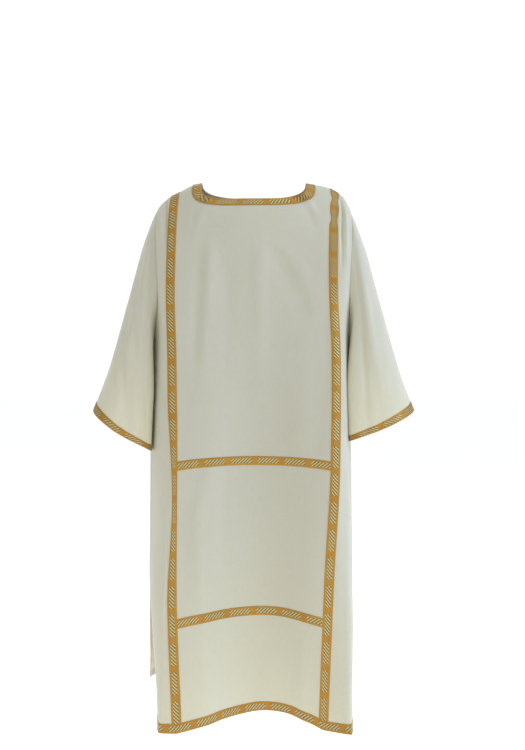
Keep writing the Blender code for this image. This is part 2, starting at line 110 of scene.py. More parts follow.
# Turned and stitched free edges of the cloth
TURNING_WIDTH = 0.0105
TURNING_STEP = 0.0025
TURNING_PLY = 0.7
STITCH_INSET = 0.009
STITCH_WIDTH = 0.0009
STITCH_PITCH = 0.0045
STITCH_LENGTH = 0.0028
EDGE_REACH = 0.05

# Pattern of the cloth: its yarns, slubs to a metre, and how strongly each shows in tone and height
YARN_PITCH = 0.0015
SLUB_THIN = 900.0
SLUB_LONG = 55.0
BROAD_SCALE = 3.2
SLUB_TONE = 0.55
WEAVE_TONE = 0.05
BROAD_TONE = 0.35
# Painted shade: how strongly the cloth is tinted where its turnings double it
DOUBLED_CLOTH_SHADE_TONE = 0.55
STITCH_TONE = 0.35
WEAVE_HEIGHT = 0.5
SLUB_HEIGHT = 1.6
STITCH_DEPTH = 2.5
CLOTH_BUMP = (0.35, 0.0002)
CLOTH_ROUGHNESS = (0.08, 0.66)

# Colours of the cloth and of the galloon's threads
IVORY_SHADE = "#BEBBA6"
IVORY_LIGHT = "#D7D4C1"
IVORY_WARM = "#D0C9AC"
# Painted shade: doubled cloth at the turnings as it looks against the light behind it
DOUBLED_CLOTH_BACKLIT_SHADE = "#D9C6B4"
STITCH_SHADE = "#8F8D7C"
GALLOON_BORDER = "#CC942C"
GALLOON_DEEP = "#8E5C14"
# Painted highlight: the border's gold as it looks where lit
GALLOON_LIT = "#E2BC62"
GALLOON_PALE = "#D4C68E"
GALLOON_GAP = "#624C1E"
SHEEN_TINT = "#F4F3E8"

# Studio: its paper and its light, the floor's level and glow, and what the backdrop adds to the light
WHITE = "#FFFFFF"
PAPER_SHADE = "#F4F4F2"
ROOM_TINT = "#D9DCE0"
LAMPS_AIM = (0, 0, -0.55)
VIEWPOINT = (0.02, -2.0, -0.44)
LENS = 40.8
FLOOR_LEVEL = -1.45
FLOOR_GLOW = 0.56
ROOM_LIGHT = 0.65
BACKDROP_EXTRA = 0.43

# The galloon's pattern, woven from threads 0.25 mm apart
PATTERN_REPEAT = 0.060
LATTICE_LENGTH = 0.0465
STRAND_LEAN = 1.1
STRAND_PITCH = 0.0075
STRAND_HALF = 0.0011
STRAND_BLUR = 0.0006
CROSSING_SHARE = 0.25
THREAD_TONE = 0.2
RIB_PITCH = 0.0010
TWILL_PITCH = 0.0016
DOT_PITCH = 0.0045
DOT_RADIUS = 0.0011
DOT_TONE = 0.5
BEAD_LINE = 0.0061
BEAD_WIDTH = 0.0009
BEAD_PITCH = 0.0029
BEAD_TONE = 0.6
# Painted highlight: size and strength of the random patches of lit gold
LIT_PATCH_SCALE = 60.0
LIT_PATCH_TONE = 0.25
TWILL_HEIGHT = 0.3
KNOT_HEIGHT = 0.8
GALLOON_BUMP = (0.5, 0.0004)
GALLOON_ROUGHNESS = (0.16, 0.34)

# Small pleats of the neck galloon, which is eased round the front corners: the side, middle and reach of
# each group, and how far back they go
PLEAT_LIFT = 0.0032
PLEAT_PITCH = 0.0048
PLEAT_REST = 0.4
PLEAT_GROUPS = ((-1, 0.112, 0.024), (1, 0.110, 0.022))
PLEAT_BACK = -0.03
NECK_PITCH = 0.0009

# The galloon's section: a plain woven border on each side of its pattern, and the shares of its wall that
# are there at its very edge, gained over the edge's rounding, and added by the border
EDGE_ROUNDING = 0.0016
BORDER_WIDTH = 0.0042
BORDER_STEP = 0.0008
EDGE_SHARE = 0.45
ROUNDING_SHARE = 0.35
BORDER_SHARE = 0.20

FOLD = EDGE_CELLS
BAND_OUTER = FOLD + FOLD_CELLS
BAND_INNER = BAND_OUTER + BAND_CELLS
NECK_END = BAND_INNER + NECK_INSET_CELLS
CENTRE = BAND_INNER + MIDDLE_CELLS
COLUMNS = 2 * CENTRE + 1
SHOULDER_ROW = NECK_ROWS
CHEST_ROW = SHOULDER_ROW + SHOULDER_ROWS
UNDERARM_ROW = CHEST_ROW + UNDERARM_ROWS
UPPER_CROSSBAR_ROW = UNDERARM_ROW + WAIST_ROWS
SLIT_TOP_ROW = UPPER_CROSSBAR_ROW + BAND_ROWS + HIP_ROWS
LOWER_CROSSBAR_ROW = SLIT_TOP_ROW + SLIT_ROWS
HEM_BAND_ROW = LOWER_CROSSBAR_ROW + BAND_ROWS + SKIRT_ROWS
HEM_ROW = HEM_BAND_ROW + BAND_ROWS

# Steps of the curves that the net is read from
STRETCH_POINTS = 13
CURVE_POINTS = 721
LADDER_LEVELS = 90
SEAM_LEVELS = 120
RING_STEPS = 240

# Galloon is sewn on the cloth: cells across it, and its pitch along
GALLOON_CELLS = 10
GALLOON_PITCH = 0.0025


class Middle(NamedTuple):
    """One level of a panel's middle: where it lies, and how far the cloth there is drawn up."""

    level: float
    x: float
    y: float
    lift: float


class Quarter(NamedTuple):
    """One level of a quarter of the body: its clavus, its outer fold and its edge, out from the middle."""

    level: float
    band_x: float
    band_y: float
    fold_x: float
    fold_y: float
    edge_x: float
    edge_y: float


class Fold(NamedTuple):
    """A long soft fold of a panel, which deepens from its start to its full level; outward is positive."""

    start: float
    full: float
    start_x: float
    hem_x: float
    half_width: float
    depth: float


class Ring(NamedTuple):
    """One ring of a sleeve, by its share of the way to the cuff: its outer point and its two depths."""

    along: float
    outer_x: float
    outer_z: float
    inner_drop: float
    front: float
    back: float


class Neckline(NamedTuple):
    """The neck edge of a panel and its band's lower edge, with how square each corner is."""

    drop: float
    band_drop: float
    right_power: float
    left_power: float


class Panel(NamedTuple):
    """A body panel: -1 for the front and 1 for the back, its sections, neck, hem and folds."""

    side: int
    middle: tuple
    right: tuple
    left: tuple
    neck: Neckline
    hem: float
    folds: tuple


FRONT = Panel(
    side=-1,
    middle=(
        Middle(SHOULDER_TOP, 0.000, 0.094, 0),
        Middle(-0.10, 0.000, 0.102, 0),
        Middle(CHEST, 0.000, 0.115, 0),
        Middle(UNDERARM, 0.000, 0.118, 0.005),
        Middle(-0.64, 0.005, 0.118, 0.011),
        Middle(SLIT_TOP, 0.015, 0.120, 0.0155),
        Middle(FRONT_HEM, 0.030, 0.118, 0.0185),
    ),
    right=(
        Quarter(SHOULDER_TOP, 0.183, 0.074, 0.206, 0.072, 0.226, 0.068),
        Quarter(-0.10, 0.185, 0.088, 0.206, 0.085, 0.224, 0.079),
        Quarter(CHEST, 0.185, 0.117, 0.205, 0.108, 0.217, 0.092),
        Quarter(UNDERARM, 0.180, 0.130, 0.214, 0.088, 0.2335, 0),
        Quarter(-0.64, 0.176, 0.150, 0.221, 0.100, 0.2415, 0),
        Quarter(SLIT_TOP, 0.176, 0.167, 0.1925, 0.164, 0.244, 0),
        Quarter(FRONT_HEM, 0.162, 0.197, 0.2006, 0.194, 0.212, 0.035),
    ),
    left=(
        Quarter(SHOULDER_TOP, 0.188, 0.074, 0.208, 0.072, 0.226, 0.068),
        Quarter(-0.10, 0.178, 0.088, 0.203, 0.085, 0.225, 0.079),
        Quarter(CHEST, 0.178, 0.117, 0.202, 0.108, 0.216, 0.092),
        Quarter(UNDERARM, 0.183, 0.130, 0.207, 0.095, 0.219, 0),
        Quarter(-0.64, 0.179, 0.150, 0.212, 0.105, 0.2265, 0),
        Quarter(SLIT_TOP, 0.1645, 0.165, 0.207, 0.150, 0.229, 0),
        Quarter(FRONT_HEM, 0.150, 0.178, 0.2075, 0.203, 0.217, 0.045),
    ),
    neck=Neckline(0.050, 0.0675, 4.4, 3.7),
    hem=FRONT_HEM,
    folds=(
        Fold(-0.20, -0.45, -0.090, -0.105, 0.055, 0.004),
        Fold(-0.20, -0.50, 0.105, 0.110, 0.050, 0.003),
    ),
)

BACK = Panel(
    side=1,
    middle=(
        Middle(SHOULDER_TOP, 0, 0.086, 0),
        Middle(-0.10, 0, 0.108, 0),
        Middle(CHEST, 0, 0.128, 0),
        Middle(UNDERARM, 0, 0.130, 0),
        Middle(-0.64, 0, 0.128, 0),
        Middle(SLIT_TOP, 0, 0.127, 0.004),
        Middle(BACK_HEM, -0.010, 0.130, 0.008),
    ),
    right=(
        Quarter(SHOULDER_TOP, 0.183, 0.078, 0.206, 0.076, 0.226, 0.072),
        Quarter(-0.10, 0.185, 0.096, 0.206, 0.093, 0.224, 0.086),
        Quarter(CHEST, 0.183, 0.120, 0.204, 0.112, 0.217, 0.096),
        Quarter(UNDERARM, 0.178, 0.130, 0.214, 0.090, 0.2335, 0),
        Quarter(-0.64, 0.174, 0.138, 0.223, 0.100, 0.2415, 0),
        Quarter(SLIT_TOP, 0.172, 0.146, 0.226, 0.110, 0.244, 0),
        Quarter(BACK_HEM, 0.168, 0.164, 0.236, 0.152, 0.2595, 0.12),
    ),
    left=(
        Quarter(SHOULDER_TOP, 0.188, 0.078, 0.208, 0.076, 0.226, 0.072),
        Quarter(-0.10, 0.178, 0.096, 0.203, 0.093, 0.225, 0.086),
        Quarter(CHEST, 0.178, 0.120, 0.202, 0.112, 0.216, 0.096),
        Quarter(UNDERARM, 0.178, 0.130, 0.207, 0.090, 0.219, 0),
        Quarter(-0.64, 0.174, 0.138, 0.212, 0.100, 0.2265, 0),
        Quarter(SLIT_TOP, 0.168, 0.146, 0.214, 0.106, 0.229, 0),
        Quarter(BACK_HEM, 0.158, 0.162, 0.212, 0.143, 0.233, 0.08),
    ),
    neck=Neckline(0.026, 0.0435, 2.6, 2.6),
    hem=BACK_HEM,
    folds=(
        Fold(-0.30, -0.90, -0.120, -0.112, 0.045, 0.011),
        Fold(-0.35, -1.00, -0.055, -0.048, 0.040, -0.009),
        Fold(-0.25, -0.95, 0.020, 0.028, 0.045, 0.012),
        Fold(-0.40, -1.00, 0.090, 0.095, 0.045, -0.008),
    ),
)

# Level of each shoulder seam by its distance from the middle
RIGHT_SHOULDER = (
    (NECK_HALF_WIDTH, SHOULDER_TOP),
    (0.144, 0.0055),
    (0.160, -0.0045),
    (0.178, -0.014),
    (0.197, -0.0235),
    (0.212, -0.036),
    (0.226, -0.052),
)
LEFT_SHOULDER = (
    (NECK_HALF_WIDTH, SHOULDER_TOP),
    (0.1405, 0.0065),
    (0.170, 0.0006),
    (0.196, -0.0125),
    (0.209, -0.022),
    (0.218, -0.037),
    (0.226, -0.053),
)

SLEEVE = (
    Ring(0.00, 0.226, -0.053, 0.000, 0.092, 0.096),
    Ring(0.08, 0.242, -0.095, 0.003, 0.097, 0.101),
    Ring(0.20, 0.259, -0.146, 0.035, 0.102, 0.107),
    Ring(0.50, 0.297, -0.286, 0.450, 0.109, 0.116),
    Ring(0.80, 0.337, -0.426, 0.800, 0.113, 0.121),
    Ring(1.00, 0.372, -0.520, 1.000, 0.115, 0.123),
)


def smooth(at, values, where):
    """Reads, at the given places, a smooth curve through rows of values that swings past none of them."""
    at = np.asarray(at, float)
    values = np.asarray(values, float).reshape(len(at), -1)
    steps = np.diff(at)[:, None]
    slopes = np.diff(values, axis=0) / steps
    agree = slopes[1:] * slopes[:-1] > 0
    mean = 2 * slopes[1:] * slopes[:-1] / np.where(agree, slopes[1:] + slopes[:-1], 1)
    tangents = np.vstack([slopes[:1], np.where(agree, mean, 0), slopes[-1:]])
    where = np.clip(np.atleast_1d(where), at[0], at[-1])
    left = np.clip(np.searchsorted(at, where, side="right") - 1, 0, len(at) - 2)
    step = steps[left]
    share = (where - at[left])[:, None] / step
    rest = 1 - share
    return (
        values[left] * (1 + 2 * share) * rest**2
        + values[left + 1] * (1 + 2 * rest) * share**2
        + step * share * rest * (tangents[left] * rest - tangents[left + 1] * share)
    )


def ease(share):
    """A share of the way, with a soft start and a soft end."""
    share = np.clip(share, 0, 1)
    return share * share * (3 - 2 * share)


def table_row(table, level):
    """The values of a table's columns at a level between its rows."""
    rows = np.array(table)[::-1]
    return smooth(rows[:, 0], rows[:, 1:], level)[0]


def shoulder_seam(x):
    """Level of the shoulder seam at a distance from the middle."""
    x = np.asarray(x, float)
    reach = abs(x).ravel()
    right, left = [smooth(*np.array(slope).T, reach)[:, 0] for slope in (RIGHT_SHOULDER, LEFT_SHOULDER)]
    return np.where(x < 0, right.reshape(x.shape), left.reshape(x.shape))


def shoulder_turn(drop):
    """Share of a panel's depth reached at a drop below the shoulder seam, as cloth turns over it."""
    return np.sqrt(1 - (1 - np.clip(drop / SHOULDER_ROUNDING, 0, 1)) ** 2)


def quarter_stations(quarter, side, closing):
    """A quarter's places at one level from its clavus out, and one past its edge to steer the curve.
    Under the arm the cloth turns the corner into the other panel, and above it runs on into the sleeve."""
    band_x, band_y, fold_x, fold_y, edge_x, edge_y = quarter
    straight_on = (2 * edge_x - fold_x, 2 * edge_y - fold_y)
    round_corner = (fold_x, 2 * edge_y - fold_y)
    past = np.array(straight_on) * (1 - closing) + np.array(round_corner) * closing
    places = np.array([(band_x, band_y), (fold_x, fold_y), (edge_x, edge_y), past])
    return places * (1, side)


def section(panel, level):
    """A panel's level line from its right edge to its left: close points, their distances along it, and
    the distances of its right edge, fold and clavus, its middle, and its left clavus, fold and edge."""
    closing = ease((CHEST - level) / (CHEST - UNDERARM))
    right = quarter_stations(table_row(panel.right, level), panel.side, closing) * (-1, 1)
    left = quarter_stations(table_row(panel.left, level), panel.side, closing)
    x, y, _ = table_row(panel.middle, level)
    stations = np.vstack([right[::-1], [(x, panel.side * y)], left])
    spacing = np.linalg.norm(np.diff(stations, axis=0), axis=1)
    at = np.concatenate([[0], np.cumsum(spacing)])
    stretches = [np.linspace(start, end, STRETCH_POINTS) for start, end in zip(at[1:-2], at[2:-1])]
    dense = np.unique(np.concatenate(stretches))
    line = smooth(at, stations, dense)
    for fold in panel.folds:
        grown = ease((fold.start - level) / (fold.start - fold.full))
        fold_x = np.interp(level, (panel.hem, fold.start), (fold.hem_x, fold.start_x))
        near = np.clip(abs(line[:, 0] - fold_x) / fold.half_width, 0, 1)
        line[:, 1] += panel.side * fold.depth * grown * (1 + np.cos(np.pi * near)) / 2
    run = np.concatenate([[0], np.cumsum(np.linalg.norm(np.diff(line, axis=0), axis=1))])
    marks = run[np.searchsorted(dense, at[1:-1] - 1e-9)]
    return line, run, marks


def column_distances(marks):
    """Distances along a section of the net's columns: the clavi keep the galloon's width."""
    half = GALLOON_WIDTH / 2
    right_edge, right_fold, right_band, middle, left_band, left_fold, left_edge = marks
    stretches = (
        (right_edge, right_fold, EDGE_CELLS),
        (right_fold, right_band - half, FOLD_CELLS),
        (right_band - half, right_band + half, BAND_CELLS),
        (right_band + half, middle, MIDDLE_CELLS),
        (middle, left_band - half, MIDDLE_CELLS),
        (left_band - half, left_band + half, BAND_CELLS),
        (left_band + half, left_fold, FOLD_CELLS),
        (left_fold, left_edge, EDGE_CELLS),
    )
    parts = [np.linspace(start, end, cells, endpoint=False) for start, end, cells in stretches]
    share = np.arange(EDGE_CELLS) / EDGE_CELLS
    parts[0] = right_edge + (right_fold - right_edge) * share**EDGE_CROWDING
    parts[-1] = left_edge + (left_fold - left_edge) * (1 - share) ** EDGE_CROWDING
    return np.append(np.concatenate(parts), left_edge)


def neck_curve(neck, half_width, drop):
    """Evenly spaced places along a neck edge, as distance from the middle and drop, right to left."""
    angle = np.linspace(0, np.pi, CURVE_POINTS)
    power = np.where(angle < np.pi / 2, neck.right_power, neck.left_power)
    x = -half_width * np.sign(np.cos(angle)) * abs(np.cos(angle)) ** (2 / power)
    fall = drop * abs(np.sin(angle)) ** (2 / power)
    run = np.concatenate([[0], np.cumsum(np.hypot(np.diff(x), np.diff(fall)))])
    even = np.linspace(0, run[-1], 2 * (CENTRE - NECK_END) + 1)
    return np.interp(even, run, x), np.interp(even, run, fall)


def panel_levels(panel):
    """Levels of a panel's rows from the chest down to its hem, with a row at each edge of each band."""
    stops = (
        (UNDERARM, UNDERARM_ROWS),
        (UPPER_CROSSBAR, WAIST_ROWS),
        (UPPER_CROSSBAR - GALLOON_WIDTH, BAND_ROWS),
        (SLIT_TOP, HIP_ROWS),
        (LOWER_CROSSBAR, SLIT_ROWS),
        (LOWER_CROSSBAR - GALLOON_WIDTH, BAND_ROWS),
        (panel.hem + GALLOON_WIDTH, SKIRT_ROWS),
        (panel.hem, BAND_ROWS),
    )
    levels = [CHEST]
    for level, rows in stops:
        levels += np.linspace(levels[-1], level, rows + 1)[1:].tolist()
    return levels


def upper_ladder(panel):
    """Two lookups for a panel above its chest: where its columns hang, and its depth, both by level."""
    levels = np.linspace(SHOULDER_TOP, CHEST, LADDER_LEVELS)
    sections = [section(panel, level) for level in levels]
    hanging = np.array([np.interp(column_distances(marks), run, line[:, 0]) for line, run, marks in sections])

    def share_of(level):
        """How many rungs down the ladder a level lies."""
        return (SHOULDER_TOP - level) / (SHOULDER_TOP - CHEST) * (LADDER_LEVELS - 1)

    def between(rungs, level):
        """A value read between two rungs."""
        rung = np.clip(share_of(level), 0, LADDER_LEVELS - 1.001)
        low = rung.astype(int)
        share = rung - low
        return rungs(low) * (1 - share) + rungs(low + 1) * share

    def hanging_x(column, level):
        """Where a column hangs at a level."""
        return between(lambda rung: hanging[rung, column], level)

    def depth(x, level):
        """How far from the middle plane the cloth lies at a place."""

        def rungs(rung):
            """Its depth in the sections of the given rungs."""
            found = np.empty(len(x))
            for one in np.unique(rung):
                here = rung == one
                found[here] = np.interp(x[here], sections[one][0][:, 0], sections[one][0][:, 1])
            return found

        return between(rungs, level) * shoulder_turn(shoulder_seam(x) - level)

    return hanging_x, depth


def panel_net(panel):
    """The panel's net of points. Its neck rows are used only between the neck's ends."""
    net = np.zeros((HEM_ROW + 1, COLUMNS, 3))
    hanging_x, depth = upper_ladder(panel)
    necks = slice(NECK_END, COLUMNS - NECK_END)
    line, run, marks = section(panel, SHOULDER_TOP)
    top_x = np.interp(column_distances(marks), run, line[:, 0])
    edge_x, edge_drop = neck_curve(panel.neck, NECK_HALF_WIDTH, panel.neck.drop)
    band_x, band_drop = neck_curve(panel.neck, NECK_BAND_HALF_WIDTH, panel.neck.band_drop)
    for row in range(NECK_ROWS):
        share = row / NECK_ROWS
        x = edge_x + (band_x - edge_x) * share
        level = shoulder_seam(x) - edge_drop - (band_drop - edge_drop) * share
        net[row, necks] = np.stack([x, depth(x, level), level], axis=-1)
    top_x[necks] = band_x
    top_level = shoulder_seam(top_x)
    top_level[necks] -= band_drop
    share = np.arange(SHOULDER_ROWS) / SHOULDER_ROWS
    for column in range(COLUMNS):
        level = top_level[column] + (CHEST - top_level[column]) * share**2
        x = top_x[column] + (hanging_x(column, level) - top_x[column]) * ease(share)
        net[SHOULDER_ROW:CHEST_ROW, column] = np.stack([x, depth(x, level), level], axis=-1)
    for row, level in enumerate(panel_levels(panel), CHEST_ROW):
        line, run, marks = section(panel, level)
        distances = column_distances(marks)
        right_band, middle, left_band = marks[2:5]
        reach = np.where(distances < middle, right_band - middle, left_band - middle)
        from_middle = (distances - middle) / reach
        net[row, :, 0] = np.interp(distances, run, line[:, 0])
        net[row, :, 1] = np.interp(distances, run, line[:, 1])
        net[row, :, 2] = level + table_row(panel.middle, level)[2] * (1 - np.clip(from_middle, 0, 1) ** 3)
    return net


def panel_cells():
    """Which cells of a panel's net are cloth: all but those beside the neck band."""
    cells = np.ones((HEM_ROW, COLUMNS - 1), bool)
    cells[:NECK_ROWS, :NECK_END] = False
    cells[:NECK_ROWS, COLUMNS - 1 - NECK_END :] = False
    return cells


def body_edge(quarters):
    """A side seam's distance from the middle, by level."""
    levels = np.linspace(UNDERARM, SLIT_TOP, SEAM_LEVELS)
    return np.array([(table_row(quarters, level)[4], level) for level in levels])


def evenly_spaced(line, count):
    """The same line through a number of evenly spaced points."""
    run = np.concatenate([[0], np.cumsum(np.linalg.norm(np.diff(line, axis=0), axis=1))])
    even = np.linspace(0, run[-1], count)
    return np.stack([np.interp(even, run, part) for part in line.T], axis=-1)


def sleeve_net(armhole, cuff_inner, wrap, body):
    """A sleeve's net: rings from the armhole's points to the cuff, its last rows the galloon's width.
    The armhole starts at the shoulder and runs down the front and up the back."""
    half = len(armhole) // 2
    side = np.sign(armhole[0, 0])
    underarm = armhole[half]
    angles = np.linspace(0, np.pi, RING_CURVE_POINTS)

    def ring(along):
        """The sleeve's outline at a share of the way to the cuff, from the shoulder's side round."""
        outer_x, outer_z, inner_drop, front, back = smooth(
            [row.along for row in SLEEVE], [row[1:] for row in SLEEVE], along
        )[0]
        inner_z = underarm[2] + (cuff_inner - underarm[2]) * inner_drop
        clear = SLEEVE_CLEARANCE * ease(along / SLEEVE[1].along)
        inner_x = np.interp(-inner_z, -body[:, 1], body[:, 0]) + clear
        middle = np.array([side * (outer_x + inner_x), 0, outer_z + inner_z]) / 2
        reach = np.array([side * (outer_x - inner_x), 0, outer_z - inner_z]) / 2
        inner = ARMPIT_ROUNDNESS + (INNER_ROUNDNESS - ARMPIT_ROUNDNESS) * ease(along / ROUNDNESS_CHANGE)
        roundness = np.where(np.cos(angles) > 0, OUTER_ROUNDNESS, inner)
        across = np.sign(np.cos(angles)) * abs(np.cos(angles)) ** (2 / roundness)
        deep = abs(np.sin(angles)) ** (2 / roundness)
        wrapped = np.minimum(deep / WRAP_DEPTH, 1) ** WRAP_POWER * ease(-across) * ease(along / WRAP_START)
        middles = middle - np.outer(wrapped, (side * wrap, 0, 0))
        centred = middles + across[:, None] * reach
        halves = [centred + deep[:, None] * (0, depth, 0) for depth in (-front, back)]
        front_half, back_half = [evenly_spaced(one, half + 1) for one in halves]
        return np.vstack([front_half, back_half[-2:0:-1]])

    rings = np.array([ring(along) for along in np.linspace(0, 1, RING_STEPS + 1)])
    places = np.arange(len(armhole))

    def at(along):
        """Each place of the ring, at its own share of the way to the cuff."""
        rung = np.clip(along * RING_STEPS, 0, RING_STEPS - 0.001)
        low = rung.astype(int)
        share = (rung - low)[:, None]
        return rings[low, places] * (1 - share) + rings[low + 1, places] * share

    length = np.linalg.norm(rings[-1] - armhole, axis=1)
    band = 1 - GALLOON_WIDTH / length
    net = []
    for step in np.linspace(0, 1, SLEEVE_ROWS + 1):
        fade = np.clip(1 - step * band / SLEEVE_FADE, 0, 1) ** 2
        net.append(at(step * band) + (armhole - rings[0]) * fade[:, None])
    for step in np.linspace(0, 1, CUFF_ROWS + 1)[1:]:
        net.append(at(band + (1 - band) * step))
    return np.array(net)


def cell_corners(cells, columns):
    """The corners of each cell of cloth, as places in a net. A net with as many columns as cells wraps
    round, and one with a column more doesn't."""
    rows, places = np.nonzero(cells)
    after = (places + 1) % columns
    corners = [rows * columns + places, rows * columns + after]
    return np.stack(corners + [corners[1] + columns, corners[0] + columns], axis=1)


def net_normals(net, cells, outward):
    """Unit normals at the net's points, on the side that the sign picks."""
    points = net.reshape(-1, 3)
    corners = cell_corners(cells, net.shape[1])
    falling = points[corners[:, 2]] - points[corners[:, 0]]
    rising = points[corners[:, 3]] - points[corners[:, 1]]
    faces = outward * np.cross(falling, rising)
    normals = np.zeros_like(points)
    for corner in corners.T:
        np.add.at(normals, corner, faces)
    lengths = np.linalg.norm(normals, axis=1, keepdims=True)
    return (normals / np.where(lengths > 0, lengths, 1)).reshape(net.shape)


def unit(vectors):
    """The same directions with a length of one."""
    return vectors / np.linalg.norm(vectors, axis=-1, keepdims=True)


FROM_FRONT = (0, -1, 0)
FROM_BACK = (0, 1, 0)
FROM_RIGHT = (-1, 0, 0)
FROM_LEFT = (1, 0, 0)


class Crease(NamedTuple):
    """A soft crease: the side it is seen from, its half width on each side of its run, how far it lifts
    the cloth (a trough is negative), and its run as places of (across, level, strength)."""

    seen_from: tuple
    widths: tuple
    lift: float
    run: tuple


# Front: what hangs from the shoulders, the faint edge of the neck facing, and the folds of the skirt
FRONT_CREASES = (
    Crease(FROM_FRONT, (0.010, 0.008), 0.0035, (
        (0.120, -0.040, 0.4), (0.131, -0.058, 1.0), (0.152, -0.098, 0.2),
    )),
    Crease(FROM_FRONT, (0.008, 0.009), -0.0026, (
        (0.116, -0.055, 0.2), (0.124, -0.075, 1.0), (0.142, -0.118, 0.1),
    )),
    Crease(FROM_FRONT, (0.007, 0.010), 0.0027, (
        (-0.112, -0.066, 0.5), (-0.121, -0.100, 1.0), (-0.131, -0.142, 0.1),
    )),
    Crease(FROM_FRONT, (0.009, 0.009), -0.0024, (
        (-0.126, -0.052, 0.3), (-0.136, -0.080, 1.0), (-0.146, -0.130, 0.2),
    )),
    Crease(FROM_FRONT, (0.022, 0.016), 0.0050, (
        (-0.099, -0.120, 0.0), (-0.098, -0.190, 1.0), (-0.101, -0.290, 0.8), (-0.108, -0.440, 0.2),
    )),
    Crease(FROM_FRONT, (0.014, 0.018), -0.0037, (
        (-0.121, -0.150, 0.0), (-0.122, -0.230, 0.9), (-0.125, -0.330, 1.0), (-0.132, -0.470, 0.1),
    )),
    Crease(FROM_FRONT, (0.030, 0.024), -0.0034, (
        (-0.060, -0.170, 0.1), (-0.058, -0.240, 1.0), (-0.060, -0.360, 0.5), (-0.064, -0.480, 0.0),
    )),
    Crease(FROM_FRONT, (0.026, 0.028), 0.0040, (
        (0.012, -0.130, 0.1), (0.014, -0.210, 1.0), (0.016, -0.330, 0.8), (0.012, -0.480, 0.2),
    )),
    Crease(FROM_FRONT, (0.014, 0.040), -0.0044, (
        (0.056, -0.170, 0.6), (0.078, -0.215, 1.0), (0.108, -0.268, 0.8), (0.126, -0.345, 0.1),
    )),
    Crease(FROM_FRONT, (0.030, 0.016), 0.0034, (
        (0.074, -0.165, 0.3), (0.098, -0.205, 1.0), (0.128, -0.258, 0.5), (0.142, -0.320, 0.0),
    )),
    Crease(FROM_FRONT, (0.0035, 0.0025), 0.0013, (
        (-0.128, -0.108, 0.4), (-0.060, -0.112, 1.0), (0.050, -0.112, 0.8), (0.148, -0.104, 0.3),
    )),
    Crease(FROM_FRONT, (0.004, 0.003), 0.0010, (
        (-0.100, -0.064, 0.8), (-0.060, -0.078, 1.0), (-0.020, -0.082, 0.0),
    )),
    Crease(FROM_FRONT, (0.005, 0.004), 0.0014, (
        (0.030, -0.078, 0.2), (0.070, -0.079, 1.0), (0.100, -0.066, 0.3),
    )),
    Crease(FROM_FRONT, (0.026, 0.020), 0.0038, (
        (-0.070, -0.590, 0.0), (-0.098, -0.655, 0.8), (-0.122, -0.740, 1.0),
        (-0.118, -0.860, 0.7), (-0.112, -0.960, 0.2),
    )),
    Crease(FROM_FRONT, (0.020, 0.020), -0.0026, (
        (-0.060, -0.640, 0.6), (-0.066, -0.700, 1.0), (-0.070, -0.790, 0.4), (-0.072, -0.880, 0.0),
    )),
    Crease(FROM_FRONT, (0.014, 0.012), -0.0020, (
        (-0.152, -0.660, 0.2), (-0.155, -0.760, 1.0), (-0.150, -0.880, 0.6), (-0.146, -0.950, 0.0),
    )),
    Crease(FROM_FRONT, (0.028, 0.022), 0.0034, (
        (-0.108, -1.000, 0.2), (-0.104, -1.080, 1.0), (-0.096, -1.190, 0.7),
    )),
    Crease(FROM_FRONT, (0.040, 0.036), -0.0030, (
        (0.010, -1.005, 0.2), (0.006, -1.090, 1.0), (0.010, -1.190, 0.6),
    )),
    Crease(FROM_FRONT, (0.020, 0.026), 0.0034, (
        (0.112, -0.990, 0.4), (0.110, -1.080, 1.0), (0.108, -1.190, 0.8),
    )),
    Crease(FROM_FRONT, (0.010, 0.018), -0.0018, (
        (0.160, -0.300, 0.2), (0.166, -0.420, 1.0), (0.158, -0.560, 0.3),
    )),
    Crease(FROM_FRONT, (0.034, 0.030), -0.0020, (
        (0.030, -0.420, 0.0), (0.060, -0.500, 0.8), (0.072, -0.600, 0.4),
    )),
    Crease(FROM_FRONT, (0.004, 0.006), 0.0034, (
        (-0.178, -0.680, 0.1), (-0.184, -0.780, 1.0), (-0.192, -0.930, 0.9), (-0.199, -1.100, 0.2),
    )),
    Crease(FROM_FRONT, (0.010, 0.008), -0.0018, (
        (0.196, -0.640, 0.1), (0.197, -0.800, 0.8), (0.196, -1.000, 1.0), (0.192, -1.190, 0.4),
    )),
    Crease(FROM_FRONT, (0.005, 0.006), -0.0059, (
        (-0.203, -0.030, 0.3), (-0.200, -0.060, 1.0), (-0.196, -0.105, 1.0), (-0.198, -0.150, 0.2),
    )),
    Crease(FROM_FRONT, (0.005, 0.007), 0.0035, (
        (-0.212, -0.050, 0.3), (-0.208, -0.090, 1.0), (-0.208, -0.150, 0.3),
    )),
    Crease(FROM_FRONT, (0.005, 0.005), -0.0059, (
        (0.200, -0.026, 0.4), (0.204, -0.060, 1.0), (0.200, -0.110, 1.0), (0.198, -0.200, 0.3),
    )),
    Crease(FROM_FRONT, (0.004, 0.003), 0.0030, (
        (0.194, -0.050, 0.2), (0.193, -0.090, 1.0), (0.192, -0.170, 0.5),
    )),
    Crease(FROM_FRONT, (0.006, 0.004), 0.0040, (
        (0.211, -0.050, 0.4), (0.210, -0.100, 1.0), (0.208, -0.190, 0.3),
    )),
    Crease(FROM_RIGHT, (0.020, 0.026), -0.0040, (
        (-0.052, -0.420, 0.2), (-0.060, -0.560, 1.0), (-0.066, -0.760, 0.8), (-0.074, -1.000, 0.3),
    )),
    Crease(FROM_LEFT, (0.022, 0.026), -0.0040, (
        (-0.048, -0.430, 0.2), (-0.058, -0.600, 1.0), (-0.070, -0.820, 0.7), (-0.090, -1.100, 0.3),
    )),
)

